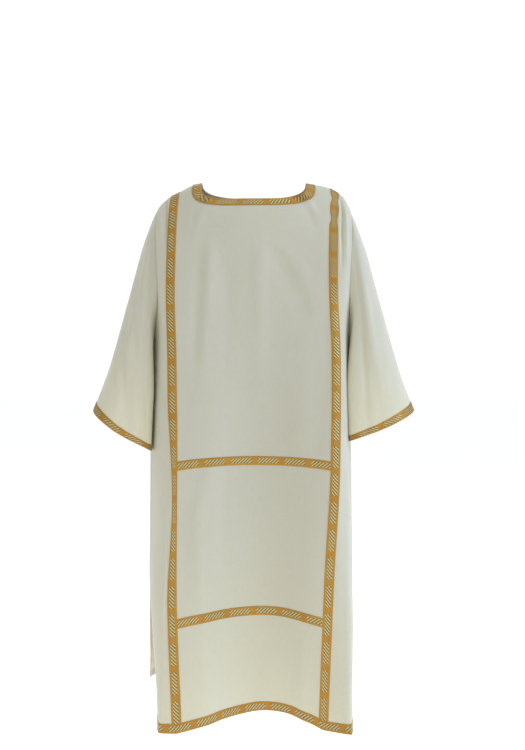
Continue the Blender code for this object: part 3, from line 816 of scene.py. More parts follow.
# Back: the same cloth hanging from the shoulder blades, with one drag from each shoulder
BACK_CREASES = (
    Crease(FROM_BACK, (0.009, 0.010), 0.0018, (
        (0.118, -0.030, 0.5), (0.128, -0.062, 1.0), (0.146, -0.120, 0.1),
    )),
    Crease(FROM_BACK, (0.010, 0.008), 0.0016, (
        (-0.120, -0.034, 0.5), (-0.134, -0.078, 1.0), (-0.150, -0.140, 0.1),
    )),
    Crease(FROM_BACK, (0.022, 0.018), 0.0036, (
        (-0.108, -0.130, 0.0), (-0.106, -0.230, 1.0), (-0.112, -0.400, 0.6), (-0.116, -0.560, 0.0),
    )),
    Crease(FROM_BACK, (0.024, 0.026), -0.0032, (
        (-0.058, -0.180, 0.1), (-0.062, -0.290, 1.0), (-0.058, -0.430, 0.4),
    )),
    Crease(FROM_BACK, (0.028, 0.024), 0.0034, (
        (0.034, -0.150, 0.1), (0.030, -0.250, 1.0), (0.026, -0.420, 0.7),
    )),
    Crease(FROM_BACK, (0.022, 0.026), -0.0036, (
        (0.086, -0.190, 0.2), (0.092, -0.300, 1.0), (0.094, -0.460, 0.5),
    )),
    Crease(FROM_BACK, (0.016, 0.018), 0.0026, (
        (0.140, -0.230, 0.1), (0.136, -0.330, 0.9), (0.134, -0.470, 0.2),
    )),
    Crease(FROM_BACK, (0.003, 0.003), 0.0006, (
        (-0.128, -0.074, 0.3), (-0.050, -0.082, 1.0), (0.060, -0.081, 0.7), (0.140, -0.072, 0.2),
    )),
    Crease(FROM_BACK, (0.016, 0.014), -0.0028, (
        (-0.150, -0.640, 0.2), (-0.148, -0.800, 1.0), (-0.144, -1.000, 0.6), (-0.140, -1.180, 0.3),
    )),
    Crease(FROM_BACK, (0.016, 0.020), 0.0030, (
        (-0.012, -0.560, 0.1), (-0.016, -0.760, 0.9), (-0.012, -1.000, 1.0), (-0.018, -1.180, 0.7),
    )),
    Crease(FROM_BACK, (0.014, 0.016), -0.0028, (
        (0.060, -0.620, 0.1), (0.058, -0.820, 0.8), (0.062, -1.060, 1.0), (0.060, -1.180, 0.6),
    )),
    Crease(FROM_BACK, (0.018, 0.014), 0.0030, (
        (0.132, -0.600, 0.1), (0.130, -0.780, 1.0), (0.128, -1.010, 0.8), (0.132, -1.180, 0.5),
    )),
    Crease(FROM_RIGHT, (0.024, 0.022), -0.0040, (
        (0.056, -0.430, 0.2), (0.062, -0.620, 1.0), (0.074, -0.860, 0.8), (0.100, -1.120, 0.4),
    )),
    Crease(FROM_LEFT, (0.022, 0.022), -0.0038, (
        (0.052, -0.430, 0.2), (0.060, -0.600, 1.0), (0.068, -0.840, 0.7), (0.084, -1.120, 0.3),
    )),
)

# Sleeves: soft ridges that run from the shoulder's edge towards the cuff, with troughs beside them
RIGHT_SLEEVE_CREASES = (
    Crease(FROM_FRONT, (0.010, 0.014), 0.0042, (
        (-0.232, -0.105, 0.2), (-0.238, -0.160, 0.9), (-0.243, -0.250, 1.0),
        (-0.246, -0.330, 0.8), (-0.252, -0.430, 0.1),
    )),
    Crease(FROM_FRONT, (0.012, 0.020), -0.0042, (
        (-0.252, -0.150, 0.1), (-0.262, -0.230, 0.9), (-0.268, -0.330, 0.8), (-0.262, -0.430, 0.3),
    )),
    Crease(FROM_FRONT, (0.011, 0.016), -0.0050, (
        (-0.276, -0.270, 0.1), (-0.286, -0.330, 1.0), (-0.292, -0.400, 1.0), (-0.283, -0.530, 0.3),
    )),
    Crease(FROM_FRONT, (0.018, 0.020), 0.0034, (
        (-0.300, -0.350, 0.2), (-0.312, -0.430, 1.0), (-0.322, -0.500, 0.4),
    )),
    Crease(FROM_FRONT, (0.014, 0.014), 0.0036, (
        (-0.258, -0.400, 0.1), (-0.262, -0.480, 1.0), (-0.262, -0.570, 0.7),
    )),
    Crease(FROM_FRONT, (0.007, 0.009), -0.0028, (
        (-0.240, -0.440, 0.1), (-0.242, -0.510, 0.9), (-0.243, -0.590, 0.5),
    )),
    Crease(FROM_BACK, (0.012, 0.016), 0.0042, (
        (-0.236, -0.130, 0.2), (-0.246, -0.230, 1.0), (-0.252, -0.360, 0.8), (-0.258, -0.480, 0.1),
    )),
    Crease(FROM_BACK, (0.016, 0.018), -0.0048, (
        (-0.266, -0.220, 0.2), (-0.280, -0.330, 1.0), (-0.292, -0.450, 0.8), (-0.296, -0.540, 0.2),
    )),
    Crease(FROM_BACK, (0.016, 0.018), 0.0032, (
        (-0.300, -0.320, 0.1), (-0.316, -0.410, 1.0), (-0.330, -0.500, 0.4),
    )),
    Crease(FROM_RIGHT, (0.020, 0.022), -0.0030, (
        (-0.036, -0.170, 0.1), (-0.040, -0.270, 1.0), (-0.050, -0.400, 0.6), (-0.056, -0.500, 0.1),
    )),
    Crease(FROM_RIGHT, (0.020, 0.020), -0.0028, (
        (0.044, -0.190, 0.1), (0.052, -0.300, 1.0), (0.060, -0.430, 0.4),
    )),
)
LEFT_SLEEVE_CREASES = (
    Crease(FROM_FRONT, (0.016, 0.012), 0.0042, (
        (0.226, -0.060, 0.3), (0.232, -0.130, 1.0), (0.246, -0.250, 0.9),
        (0.262, -0.385, 0.5), (0.268, -0.460, 0.0),
    )),
    Crease(FROM_FRONT, (0.018, 0.014), -0.0036, (
        (0.258, -0.200, 0.1), (0.272, -0.300, 1.0), (0.288, -0.400, 0.7), (0.300, -0.490, 0.2),
    )),
    Crease(FROM_FRONT, (0.010, 0.010), -0.0032, (
        (0.238, -0.300, 0.1), (0.244, -0.380, 0.9), (0.250, -0.480, 1.0), (0.252, -0.570, 0.6),
    )),
    Crease(FROM_FRONT, (0.018, 0.018), 0.0028, (
        (0.300, -0.300, 0.1), (0.318, -0.390, 0.9), (0.334, -0.480, 0.4),
    )),
    Crease(FROM_FRONT, (0.012, 0.012), 0.0028, (
        (0.262, -0.470, 0.1), (0.268, -0.520, 0.9), (0.270, -0.575, 0.7),
    )),
    Crease(FROM_FRONT, (0.014, 0.012), -0.0026, (
        (0.300, -0.410, 0.0), (0.310, -0.455, 1.0), (0.314, -0.500, 0.2),
    )),
    Crease(FROM_BACK, (0.016, 0.012), 0.0040, (
        (0.238, -0.120, 0.2), (0.250, -0.220, 1.0), (0.262, -0.350, 0.7), (0.272, -0.470, 0.1),
    )),
    Crease(FROM_BACK, (0.018, 0.016), -0.0044, (
        (0.270, -0.230, 0.2), (0.286, -0.340, 1.0), (0.300, -0.450, 0.7),
    )),
    Crease(FROM_BACK, (0.016, 0.016), 0.0030, (
        (0.306, -0.330, 0.1), (0.322, -0.420, 1.0), (0.336, -0.500, 0.3),
    )),
    Crease(FROM_LEFT, (0.020, 0.020), -0.0028, (
        (-0.034, -0.180, 0.1), (-0.042, -0.290, 1.0), (-0.052, -0.420, 0.5),
    )),
    Crease(FROM_LEFT, (0.022, 0.020), -0.0030, (
        (0.040, -0.180, 0.1), (0.050, -0.300, 1.0), (0.058, -0.440, 0.5),
    )),
)


def crease_height(net, normals, creases):
    """How far the creases lift each point of a net off its plain form."""
    height = np.zeros(net.shape[:2])
    for crease in creases:
        view = np.array(crease.seen_from)
        across = net[..., 0] if view[0] == 0 else net[..., 1]
        place = np.stack([across, net[..., 2]], axis=-1)
        nearest = np.full(across.shape, np.inf)
        strength = np.zeros(across.shape)
        for start, end in zip(crease.run, crease.run[1:]):
            along = np.subtract(end[:2], start[:2])
            share = np.clip((place - start[:2]) @ along / (along @ along), 0, 1)
            off = place - start[:2] - share[..., None] * along
            towards = along[0] * off[..., 1] - along[1] * off[..., 0] > 0
            far = np.linalg.norm(off, axis=-1) / np.where(towards, *crease.widths)
            nearer = far < nearest
            strength = np.where(nearer, start[2] + (end[2] - start[2]) * ease(share), strength)
            nearest = np.where(nearer, far, nearest)
        bump = (1 + np.cos(np.pi * np.clip(nearest, 0, 1))) / 2
        height += crease.lift * strength * bump * ease(normals @ view / FULL_FACING)
    return height


def ripple(across, down, seed, cell):
    """Gentle unevenness between -1 and 1: random heights on a grid of cells, joined smoothly."""
    heights = np.random.default_rng(seed).uniform(-1, 1, (RIPPLE_GRID, RIPPLE_GRID))
    u = across / cell[0] + RIPPLE_GRID / 2
    v = down / cell[1]
    column = np.clip(u.astype(int), 0, RIPPLE_GRID - 2)
    row = np.clip(v.astype(int), 0, RIPPLE_GRID - 2)
    right = ease(u - column)
    low = ease(v - row)
    above = heights[row, column] * (1 - right) + heights[row, column + 1] * right
    below = heights[row + 1, column] * (1 - right) + heights[row + 1, column + 1] * right
    return above * (1 - low) + below * low


def lengths_across(net):
    """Distance of each point from the first column, along its own row."""
    steps = np.linalg.norm(np.diff(net, axis=1), axis=-1)
    return np.concatenate([np.zeros((len(net), 1)), np.cumsum(steps, axis=1)], axis=1)


def lengths_down(net):
    """Distance of each point from the first row, down its own column."""
    steps = np.linalg.norm(np.diff(net, axis=0), axis=-1)
    return np.concatenate([np.zeros((1, net.shape[1])), np.cumsum(steps, axis=0)])


def relaxed(net, cells, passes, closed):
    """The net with its inner points eased towards their neighbours, and its edges left where they are."""
    net = net.copy()
    whole = cells[:-1, :-1] & cells[:-1, 1:] & cells[1:, :-1] & cells[1:, 1:]
    for _ in range(passes):
        if closed:
            sides = np.roll(net, 1, axis=1) + np.roll(net, -1, axis=1)
            net[1:-1] = (net[1:-1] * 4 + sides[1:-1] + net[:-2] + net[2:]) / 8
        else:
            inner = net[1:-1, 1:-1]
            around = net[:-2, 1:-1] + net[2:, 1:-1] + net[1:-1, :-2] + net[1:-1, 2:]
            net[1:-1, 1:-1] = np.where(whole[..., None], (inner * 4 + around) / 8, inner)
    return net


def shell(name, net, normals, cells, outward, inner, outer, weave, extra=None):
    """Makes a closed thin shell between two distances from a net, with a map of its lengths in metres."""
    corners = cell_corners(cells, net.shape[1])
    places = cell_corners(cells, weave.shape[1])
    if outward < 0:
        corners = corners[:, ::-1]
        places = places[:, ::-1]
    used, index = np.unique(corners, return_inverse=True)
    skin = index.reshape(corners.shape)
    count = len(used)
    starts = skin.ravel()
    ends = np.roll(skin, -1, axis=1).ravel()
    shared = np.isin(ends * count + starts, starts * count + ends)
    first, second = starts[~shared], ends[~shared]
    rims = np.stack([second, first, first + count, second + count], axis=1)
    faces = np.vstack([skin, skin[:, ::-1] + count, rims])
    points = net.reshape(-1, 3)[used]
    facing = normals.reshape(-1, 3)[used]
    skins = [points + facing * np.reshape(np.broadcast_to(reach, net.shape[:2]), (-1, 1))[used]
             for reach in (outer, inner)]
    mesh = bpy.data.meshes.new(name)
    mesh.from_pydata(np.vstack(skins), [], faces)
    flat = weave.reshape(-1, 2)[places]
    by_point = np.zeros((count, 2))
    by_point[skin.ravel()] = flat.reshape(-1, 2)
    lengths = np.concatenate([flat, flat[:, ::-1], by_point[rims % count]])
    layer = mesh.uv_layers.new(name="lengths")
    layer.data.foreach_set("uv", lengths.astype(np.float32).ravel())
    for title, (outside, inside) in (extra or {}).items():
        values = [np.broadcast_to(side, net.shape[:2]).ravel()[used] for side in (outside, inside)]
        marks = mesh.attributes.new(title, "FLOAT", "POINT")
        marks.data.foreach_set("value", np.concatenate(values).astype(np.float32))
    mesh.shade_smooth()
    mesh.set_sharp_from_angle(angle=SHARP_ANGLE)
    made = bpy.data.objects.new(name, mesh)
    bpy.context.scene.collection.objects.link(made)
    return made


def resampled(grid, rows, columns):
    """Reads a grid of points at places between its rows and columns."""
    rows, columns = np.broadcast_arrays(rows, columns)
    low = np.clip(rows.astype(int), 0, grid.shape[0] - 2)
    left = np.clip(columns.astype(int), 0, grid.shape[1] - 2)
    down = (rows - low)[..., None]
    right = (columns - left)[..., None]
    above = grid[low, left] * (1 - right) + grid[low, left + 1] * right
    below = grid[low + 1, left] * (1 - right) + grid[low + 1, left + 1] * right
    return above * (1 - down) + below * down


def creased(net, cells, outward, creases, seed, closed=False):
    """A net with its creases and its slight unevenness."""
    normals = net_normals(net, cells, outward)
    across = lengths_across(net)
    uneven = ripple(across - across.mean(axis=1, keepdims=True), lengths_down(net), seed, RIPPLE_CELL)
    net = net + normals * (crease_height(net, normals, creases) + uneven * RIPPLE_LIFT)[..., None]
    return relaxed(net, cells, RELAX_PASSES, closed)


def sewn_dip(far):
    """How deep a seam pulls the cloth in at a distance from its line."""
    return SEAM_DIP * np.exp(-((far / SEAM_REACH) ** 2))


def evenly(points, pitch, closed):
    """Places along a grid's columns, evenly spaced by their real distance along its middle row."""
    middle = points[len(points) // 2]
    if closed:
        middle = np.vstack([middle, middle[:1]])
    run = np.concatenate([[0], np.cumsum(np.linalg.norm(np.diff(middle, axis=0), axis=1))])
    count = int(round(run[-1] / pitch))
    even = np.linspace(0, run[-1], count + 1)
    if closed:
        even = even[:-1]
    return np.interp(even, run, np.arange(len(run))), even, run[-1]


def pinched(middle, waists):
    """Share of its width that shows of a clavus where it is drawn together or turned on edge in front."""
    narrow = np.ones(len(middle))
    for level, reach, loss in waists:
        near = np.clip(abs(middle[:, 2] - level) / reach, 0, 1)
        narrow -= loss * (1 + np.cos(np.pi * near)) / 2 * (middle[:, 1] < 0)
    return narrow


def galloon(
    name, nodes, points, normals, closed=False, pitch=GALLOON_PITCH, waists=(), held=0.5, gather=None
):
    """Sews a band of galloon on a strip of the cloth's own points, which has its rows across the band.
    Where it narrows, it stays held at a share of its width, and a gather lifts it in pleats."""
    places, along, length = evenly(points, pitch, closed)
    if closed:
        points = np.concatenate([points, points[:, :1]], axis=1)
        normals = np.concatenate([normals, normals[:, :1]], axis=1)
    rows = len(points) - 1
    across = np.linspace(0, 1, GALLOON_CELLS + 1)
    middle = resampled(points, np.full(len(places), rows / 2), places)
    narrow = pinched(middle, waists)
    row = rows * (held + (across[:, None] - held) * narrow)
    net = resampled(points, row, places[None, :])
    facing = unit(resampled(normals, row, places[None, :]))
    if gather is not None:
        net = net + facing * gather(middle, along)[None, :, None]
    cells = np.ones((GALLOON_CELLS, len(places) - (not closed)), bool)
    corners = cell_corners(cells, len(places))
    flat = net.reshape(-1, 3)
    crossing = np.cross(
        flat[corners[:, 2]] - flat[corners[:, 0]], flat[corners[:, 3]] - flat[corners[:, 1]]
    )
    outward = np.sign(np.sum(crossing * facing.reshape(-1, 3)[corners[:, 0]]))
    from_edge = np.minimum(across, 1 - across) * GALLOON_WIDTH
    rounded = np.clip(from_edge / EDGE_ROUNDING, 0, 1)
    border = 1 - ease((from_edge - BORDER_WIDTH) / BORDER_STEP)
    thickness = GALLOON_WALL * (
        EDGE_SHARE + ROUNDING_SHARE * np.sqrt(rounded) + BORDER_SHARE * border * rounded
    )
    outer = GALLOON_LIFT + thickness[:, None]
    map_along = np.append(along, length) if closed else along
    weave = np.stack(np.broadcast_arrays(map_along[None, :], across[:, None] * GALLOON_WIDTH), axis=-1)
    made = shell(name, net, facing, cells, outward, GALLOON_LIFT, outer, weave)
    made.data.materials.append(GOLD_GALLOON)
    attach(made, "root")
    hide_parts(*nodes)
    return made, length


def linear(code):
    """An sRGB hex colour as the linear one that shaders take."""
    parts = [int(code[place : place + 2], 16) / 255 for place in (1, 3, 5)]
    return (*[part / 12.92 if part <= 0.04045 else ((part + 0.055) / 1.055) ** 2.4 for part in parts], 1)


def add(tree, kind, *values, output=None, **settings):
    """Adds a shader node, sets it up, and fills its inputs in turn with values or other nodes' outputs."""
    made = tree.nodes.new("ShaderNode" + kind)
    for name, value in settings.items():
        setattr(made, name, value)
    sockets = [socket for socket in made.inputs if socket.enabled]
    for socket, value in zip(sockets, values):
        if isinstance(value, bpy.types.NodeSocket):
            tree.links.new(value, socket)
        elif value is not None:
            socket.default_value = value
    return made.outputs[output] if output else next(one for one in made.outputs if one.enabled)


def finish_of(name):
    """A new material with its tree and its shader."""
    made = bpy.data.materials.new(name)
    made.use_nodes = True
    return made, made.node_tree, made.node_tree.nodes["Principled BSDF"]


def vestment_cloth():
    """Ivory polyester vestment cloth, plain-woven from fine yarns and pressed: it is matt, with a soft
    sheen at a glancing angle, faint uneven yarns both ways, and stitched turnings along its free edges."""
    made, tree, shader = finish_of("ivory_vestment_cloth")
    lengths = add(tree, "UVMap", uv_map="lengths")
    across = add(tree, "SeparateXYZ", lengths, output="X")
    down = add(tree, "SeparateXYZ", lengths, output="Y")
    body = add(tree, "TexCoord", output="Object")
    # Yarns lie 0.45 mm apart and are drawn at 1.5 mm, so that the weave shows close to.
    warp = add(tree, "Math", across, 2 * np.pi / YARN_PITCH, operation="MULTIPLY")
    warp = add(tree, "Math", warp, operation="SINE")
    weft = add(tree, "Math", down, 2 * np.pi / YARN_PITCH, operation="MULTIPLY")
    weft = add(tree, "Math", weft, operation="SINE")
    weave = add(tree, "Math", warp, weft, operation="MULTIPLY")
    # Thicker stretches of yarn, some running down the cloth and some across it
    down_slubs = add(tree, "VectorMath", lengths, (SLUB_THIN, SLUB_LONG, 1), operation="MULTIPLY")
    down_slubs = add(tree, "TexNoise", down_slubs, 1.0, 2.0)
    cross_slubs = add(tree, "VectorMath", lengths, (SLUB_LONG, SLUB_THIN, 1), operation="MULTIPLY")
    cross_slubs = add(tree, "TexNoise", cross_slubs, 1.0, 2.0)
    uneven = add(tree, "Math", down_slubs, cross_slubs, operation="ADD")
    tone = add(tree, "Math", uneven, SLUB_TONE, operation="MULTIPLY")
    tone = add(tree, "Math", weave, WEAVE_TONE, tone, operation="MULTIPLY_ADD")
    colour = add(tree, "Mix", tone, linear(IVORY_SHADE), linear(IVORY_LIGHT), data_type="RGBA")
    broad = add(tree, "TexNoise", body, BROAD_SCALE, 1.0)
    broad = add(tree, "Math", broad, BROAD_TONE, operation="MULTIPLY")
    colour = add(tree, "Mix", broad, colour, linear(IVORY_WARM), data_type="RGBA")
    # Painted shade: a warmer strip inside where turnings double the cloth, as doubled cloth looks against the
    # light behind it; and their stitching as a dashed line
    doubled_cloth_shade = add(tree, "Attribute", attribute_name="doubled_cloth_shade", output="Fac")
    doubled_cloth_shade = add(tree, "Math", doubled_cloth_shade, DOUBLED_CLOTH_SHADE_TONE, operation="MULTIPLY")
    colour = add(tree, "Mix", doubled_cloth_shade, colour, linear(DOUBLED_CLOTH_BACKLIT_SHADE), data_type="RGBA")
    edge = add(tree, "Attribute", attribute_name="edge", output="Fac")
    on_line = add(tree, "Math", edge, STITCH_INSET, STITCH_WIDTH / 2, operation="COMPARE")
    beat = add(tree, "Math", down, STITCH_PITCH, operation="FLOORED_MODULO")
    beat = add(tree, "Math", beat, STITCH_LENGTH, operation="LESS_THAN")
    stitch = add(tree, "Math", on_line, beat, operation="MULTIPLY")
    marked = add(tree, "Math", stitch, STITCH_TONE, operation="MULTIPLY")
    colour = add(tree, "Mix", marked, colour, linear(STITCH_SHADE), data_type="RGBA")
    height = add(tree, "Math", weave, WEAVE_HEIGHT, operation="MULTIPLY")
    height = add(tree, "Math", uneven, SLUB_HEIGHT, height, operation="MULTIPLY_ADD")
    height = add(tree, "Math", stitch, -STITCH_DEPTH, height, operation="MULTIPLY_ADD")
    bump = add(tree, "Bump", *CLOTH_BUMP, None, height)
    rough = add(tree, "Math", uneven, *CLOTH_ROUGHNESS, operation="MULTIPLY_ADD")
    tree.links.new(colour, shader.inputs["Base Color"])
    tree.links.new(bump, shader.inputs["Normal"])
    tree.links.new(rough, shader.inputs["Roughness"])
    shader.inputs["Sheen Weight"].default_value = 0.25
    shader.inputs["Sheen Roughness"].default_value = 0.45
    shader.inputs["Sheen Tint"].default_value = linear(SHEEN_TINT)
    shader.inputs["Specular IOR Level"].default_value = 0.3
    # Some light passes through the thin cloth, and softens the shade inside it.
    shader.inputs["Subsurface Weight"].default_value = 0.7
    shader.inputs["Subsurface Scale"].default_value = 0.008
    shader.inputs["Subsurface Radius"].default_value = (1.0, 0.95, 0.75)
    return made


def gold_galloon():
    """Galloon woven from metallic thread on a jacquard loom: plain gold borders edged with small bead
    stitches, and between them panels of pale diagonal lattice on olive, parted by gold knot blocks."""
    made, tree, shader = finish_of("woven_gold_galloon")
    lengths = add(tree, "UVMap", uv_map="lengths")
    along = add(tree, "SeparateXYZ", lengths, output="X")
    across = add(tree, "SeparateXYZ", lengths, output="Y")
    body = add(tree, "TexCoord", output="Object")
    from_middle = add(tree, "Math", across, GALLOON_WIDTH / 2, operation="SUBTRACT")
    off_middle = add(tree, "Math", from_middle, operation="ABSOLUTE")
    field = add(tree, "Math", off_middle, GALLOON_WIDTH / 2 - BORDER_WIDTH, operation="LESS_THAN")
    repeat = add(tree, "Math", along, PATTERN_REPEAT, operation="FLOORED_MODULO")
    lattice = add(tree, "Math", repeat, LATTICE_LENGTH, operation="LESS_THAN")
    lattice = add(tree, "Math", lattice, field, operation="MULTIPLY")
    # Pale strands of the lattice lie 2 mm apart and are drawn at 7.5 mm; those one way stand out more.
    strands = []
    for lean in (STRAND_LEAN, -STRAND_LEAN):
        slant = add(tree, "Math", from_middle, lean, along, operation="MULTIPLY_ADD")
        off = add(tree, "Math", slant, STRAND_PITCH / 2, operation="PINGPONG")
        strands.append(add(tree, "MapRange", off, STRAND_HALF, STRAND_HALF + STRAND_BLUR, 1.0, 0.0))
    crossing = add(tree, "Math", strands[1], CROSSING_SHARE, operation="MULTIPLY")
    strand = add(tree, "Math", strands[0], crossing, operation="MAXIMUM")
    pale = add(tree, "Mix", strand, linear(GALLOON_GAP), linear(GALLOON_PALE), data_type="RGBA")
    # Threads lie 0.25 mm apart and are drawn at 1 mm, as ribs along the borders.
    ribs = add(tree, "Math", across, 2 * np.pi / RIB_PITCH, operation="MULTIPLY")
    ribs = add(tree, "Math", ribs, operation="SINE")
    twill = add(tree, "Math", along, across, operation="ADD")
    twill = add(tree, "Math", twill, 2 * np.pi / TWILL_PITCH, operation="MULTIPLY")
    twill = add(tree, "Math", twill, operation="SINE")
    plain = add(tree, "Math", ribs, twill, operation="ADD")
    plain = add(tree, "Math", plain, THREAD_TONE, 0.5, operation="MULTIPLY_ADD")
    plain = add(tree, "Mix", plain, linear(GALLOON_DEEP), linear(GALLOON_BORDER), data_type="RGBA")
    colour = add(tree, "Mix", lattice, plain, pale, data_type="RGBA")
    # Small knots in rows fill each block between two lattices
    knot_along = add(tree, "Math", repeat, DOT_PITCH / 2, operation="PINGPONG")
    knot_across = add(tree, "Math", from_middle, DOT_PITCH / 2, operation="PINGPONG")
    knot_place = add(tree, "CombineXYZ", knot_along, knot_across)
    knot_reach = add(tree, "VectorMath", knot_place, operation="LENGTH", output="Value")
    knot = add(tree, "Math", knot_reach, DOT_RADIUS, operation="LESS_THAN")
    block = add(tree, "Math", field, lattice, operation="SUBTRACT")
    knot = add(tree, "Math", knot, block, operation="MULTIPLY")
    knot_tone = add(tree, "Math", knot, DOT_TONE, operation="MULTIPLY")
    colour = add(tree, "Mix", knot_tone, colour, linear(GALLOON_DEEP), data_type="RGBA")
    # A dashed line of darker bead stitches runs along the inner side of each border
    bead = add(tree, "Math", off_middle, BEAD_LINE, BEAD_WIDTH / 2, operation="COMPARE")
    beat = add(tree, "Math", along, BEAD_PITCH, operation="FLOORED_MODULO")
    beat = add(tree, "Math", beat, BEAD_PITCH / 2, operation="LESS_THAN")
    bead = add(tree, "Math", bead, beat, operation="MULTIPLY")
    bead_tone = add(tree, "Math", bead, BEAD_TONE, operation="MULTIPLY")
    colour = add(tree, "Mix", bead_tone, colour, linear(GALLOON_GAP), data_type="RGBA")
    # Painted highlight: the border's lit gold mixed in at random patches, which are also a little rougher
    painted_lit_patches = add(tree, "TexNoise", body, LIT_PATCH_SCALE, 2.0)
    painted_lit_share = add(tree, "Math", painted_lit_patches, LIT_PATCH_TONE, operation="MULTIPLY")
    colour = add(tree, "Mix", painted_lit_share, colour, linear(GALLOON_LIT), data_type="RGBA")
    height = add(tree, "Math", strand, lattice, operation="MULTIPLY")
    height = add(tree, "Math", twill, TWILL_HEIGHT, height, operation="MULTIPLY_ADD")
    height = add(tree, "Math", knot, KNOT_HEIGHT, height, operation="MULTIPLY_ADD")
    height = add(tree, "Math", height, bead, operation="SUBTRACT")
    bump = add(tree, "Bump", *GALLOON_BUMP, None, height)
    rough = add(tree, "Math", painted_lit_patches, *GALLOON_ROUGHNESS, operation="MULTIPLY_ADD")
    tree.links.new(colour, shader.inputs["Base Color"])
    tree.links.new(bump, shader.inputs["Normal"])
    tree.links.new(rough, shader.inputs["Roughness"])
    shader.inputs["Metallic"].default_value = 0.45
    shader.inputs["Anisotropic"].default_value = 0.3
    return made


VESTMENT_CLOTH = vestment_cloth()
GOLD_GALLOON = gold_galloon()


def edge_marks(net):
    """Distance of each point of a panel from its nearest slit edge, and from its hem."""
    across = lengths_across(net)
    from_side = np.minimum(across, across[:, -1:] - across)
    above = np.clip(net[..., 2] - SLIT_TOP, 0, None)
    slit = np.hypot(from_side, above)
    from_hem = lengths_down(net)[-1:] - lengths_down(net)
    return slit, from_hem


def panel_piece(name, panel, net, normals, cells):
    """Makes a panel's cloth, which is thicker where its slit edges are turned and stitched."""
    slit, from_hem = edge_marks(net)
    turned = 1 - ease((slit - TURNING_WIDTH) / TURNING_STEP)
    half_wall = CLOTH_HALF_WALL * (1 + TURNING_PLY * turned)
    across = lengths_across(net)
    weave = np.stack([across - across[:, CENTRE : CENTRE + 1], lengths_down(net)], axis=-1)
    # Painted shade inside, where the slit turnings and the hem under its galloon double the cloth
    inside = np.maximum(turned, 1 - ease((from_hem - GALLOON_WIDTH) / TURNING_STEP))
    near_slit = np.clip(slit, 0, EDGE_REACH)
    extra = {"edge": (near_slit, near_slit), "doubled_cloth_shade": (0 * inside, inside)}
    made = shell(name + "_cloth", net, normals, cells, panel.side, -half_wall, half_wall, weave, extra)
    made.data.materials.append(VESTMENT_CLOTH)
    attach(made, "root")
    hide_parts(name)
    return made


# Both panels, creased, with their side seams brought back together
cells = panel_cells()
nets = {}
for panel, creases, seed in ((FRONT, FRONT_CREASES, 3), (BACK, BACK_CREASES, 8)):
    nets[panel.side] = creased(panel_net(panel), cells, panel.side, creases, seed)
front, back = nets[-1], nets[1]
for panel, net in ((FRONT, front), (BACK, back)):
    normals = net_normals(net, cells, panel.side)
    across = lengths_across(net)
    for far in (across, across[:, -1:] - across):
        sewn = ease((net[..., 2] - SLIT_TOP + SEAM_FADE / 2) / SEAM_FADE)
        net -= normals * (sewn_dip(far) * sewn)[..., None]
    down = lengths_down(net)
    beside_neck = np.ones(COLUMNS, bool)
    beside_neck[NECK_END : COLUMNS - NECK_END] = False
    down[:, beside_neck] -= down[SHOULDER_ROW, beside_neck]
    net[:, beside_neck] -= (normals * sewn_dip(down)[..., None])[:, beside_neck]
seams = [(row, column) for row in range(UNDERARM_ROW, SLIT_TOP_ROW + 1) for column in (0, COLUMNS - 1)]
shoulders = [*range(NECK_END + 1), *range(COLUMNS - 1 - NECK_END, COLUMNS)]
seams += [(SHOULDER_ROW, column) for column in shoulders]
seams += [(row, column) for row in range(NECK_ROWS) for column in (NECK_END, COLUMNS - 1 - NECK_END)]
for place in seams:
    front[place] = back[place] = (front[place] + back[place]) / 2
front_normals = net_normals(front, cells, -1)
back_normals = net_normals(back, cells, 1)
for place in seams:
    front_normals[place] = back_normals[place] = unit(front_normals[place] + back_normals[place])

# Both sleeves, from the armholes' own points
sleeves = {}
SLEEVES = (
    ("right", 0, -1, RIGHT_CUFF_INNER, RIGHT_SLEEVE_WRAP, FRONT.right, RIGHT_SLEEVE_CREASES, 12),
    ("left", COLUMNS - 1, 1, LEFT_CUFF_INNER, LEFT_SLEEVE_WRAP, FRONT.left, LEFT_SLEEVE_CREASES, 20),
)
for name, column, side, cuff_inner, wrap, quarters, creases, seed in SLEEVES:
    down = list(range(SHOULDER_ROW, UNDERARM_ROW + 1))
    up = list(range(UNDERARM_ROW - 1, SHOULDER_ROW, -1))
    armhole = np.vstack([front[down, column], back[up, column]])
    plain = sleeve_net(armhole, cuff_inner, wrap, body_edge(quarters))
    sleeve_cells = np.ones((len(plain) - 1, plain.shape[1]), bool)
    net = creased(plain, sleeve_cells, side, creases, seed, closed=True)
    normals = net_normals(net, sleeve_cells, side)
    net -= normals * sewn_dip(lengths_down(net))[..., None]
    net[0] = armhole
    normals = net_normals(net, sleeve_cells, side)
    rim = np.vstack([front_normals[down, column], back_normals[up, column]])
    normals[0] = unit(normals[0] + rim)
    front_normals[down, column] = normals[0, : len(down)]
    back_normals[up, column] = normals[0, len(down) :]
    back_normals[[SHOULDER_ROW, UNDERARM_ROW], column] = normals[0, [0, len(down) - 1]]
    sleeves[name] = (net, normals, sleeve_cells, side)

front_piece = panel_piece("front_panel", FRONT, front, front_normals, cells)
back_piece = panel_piece("back_panel", BACK, back, back_normals, cells)


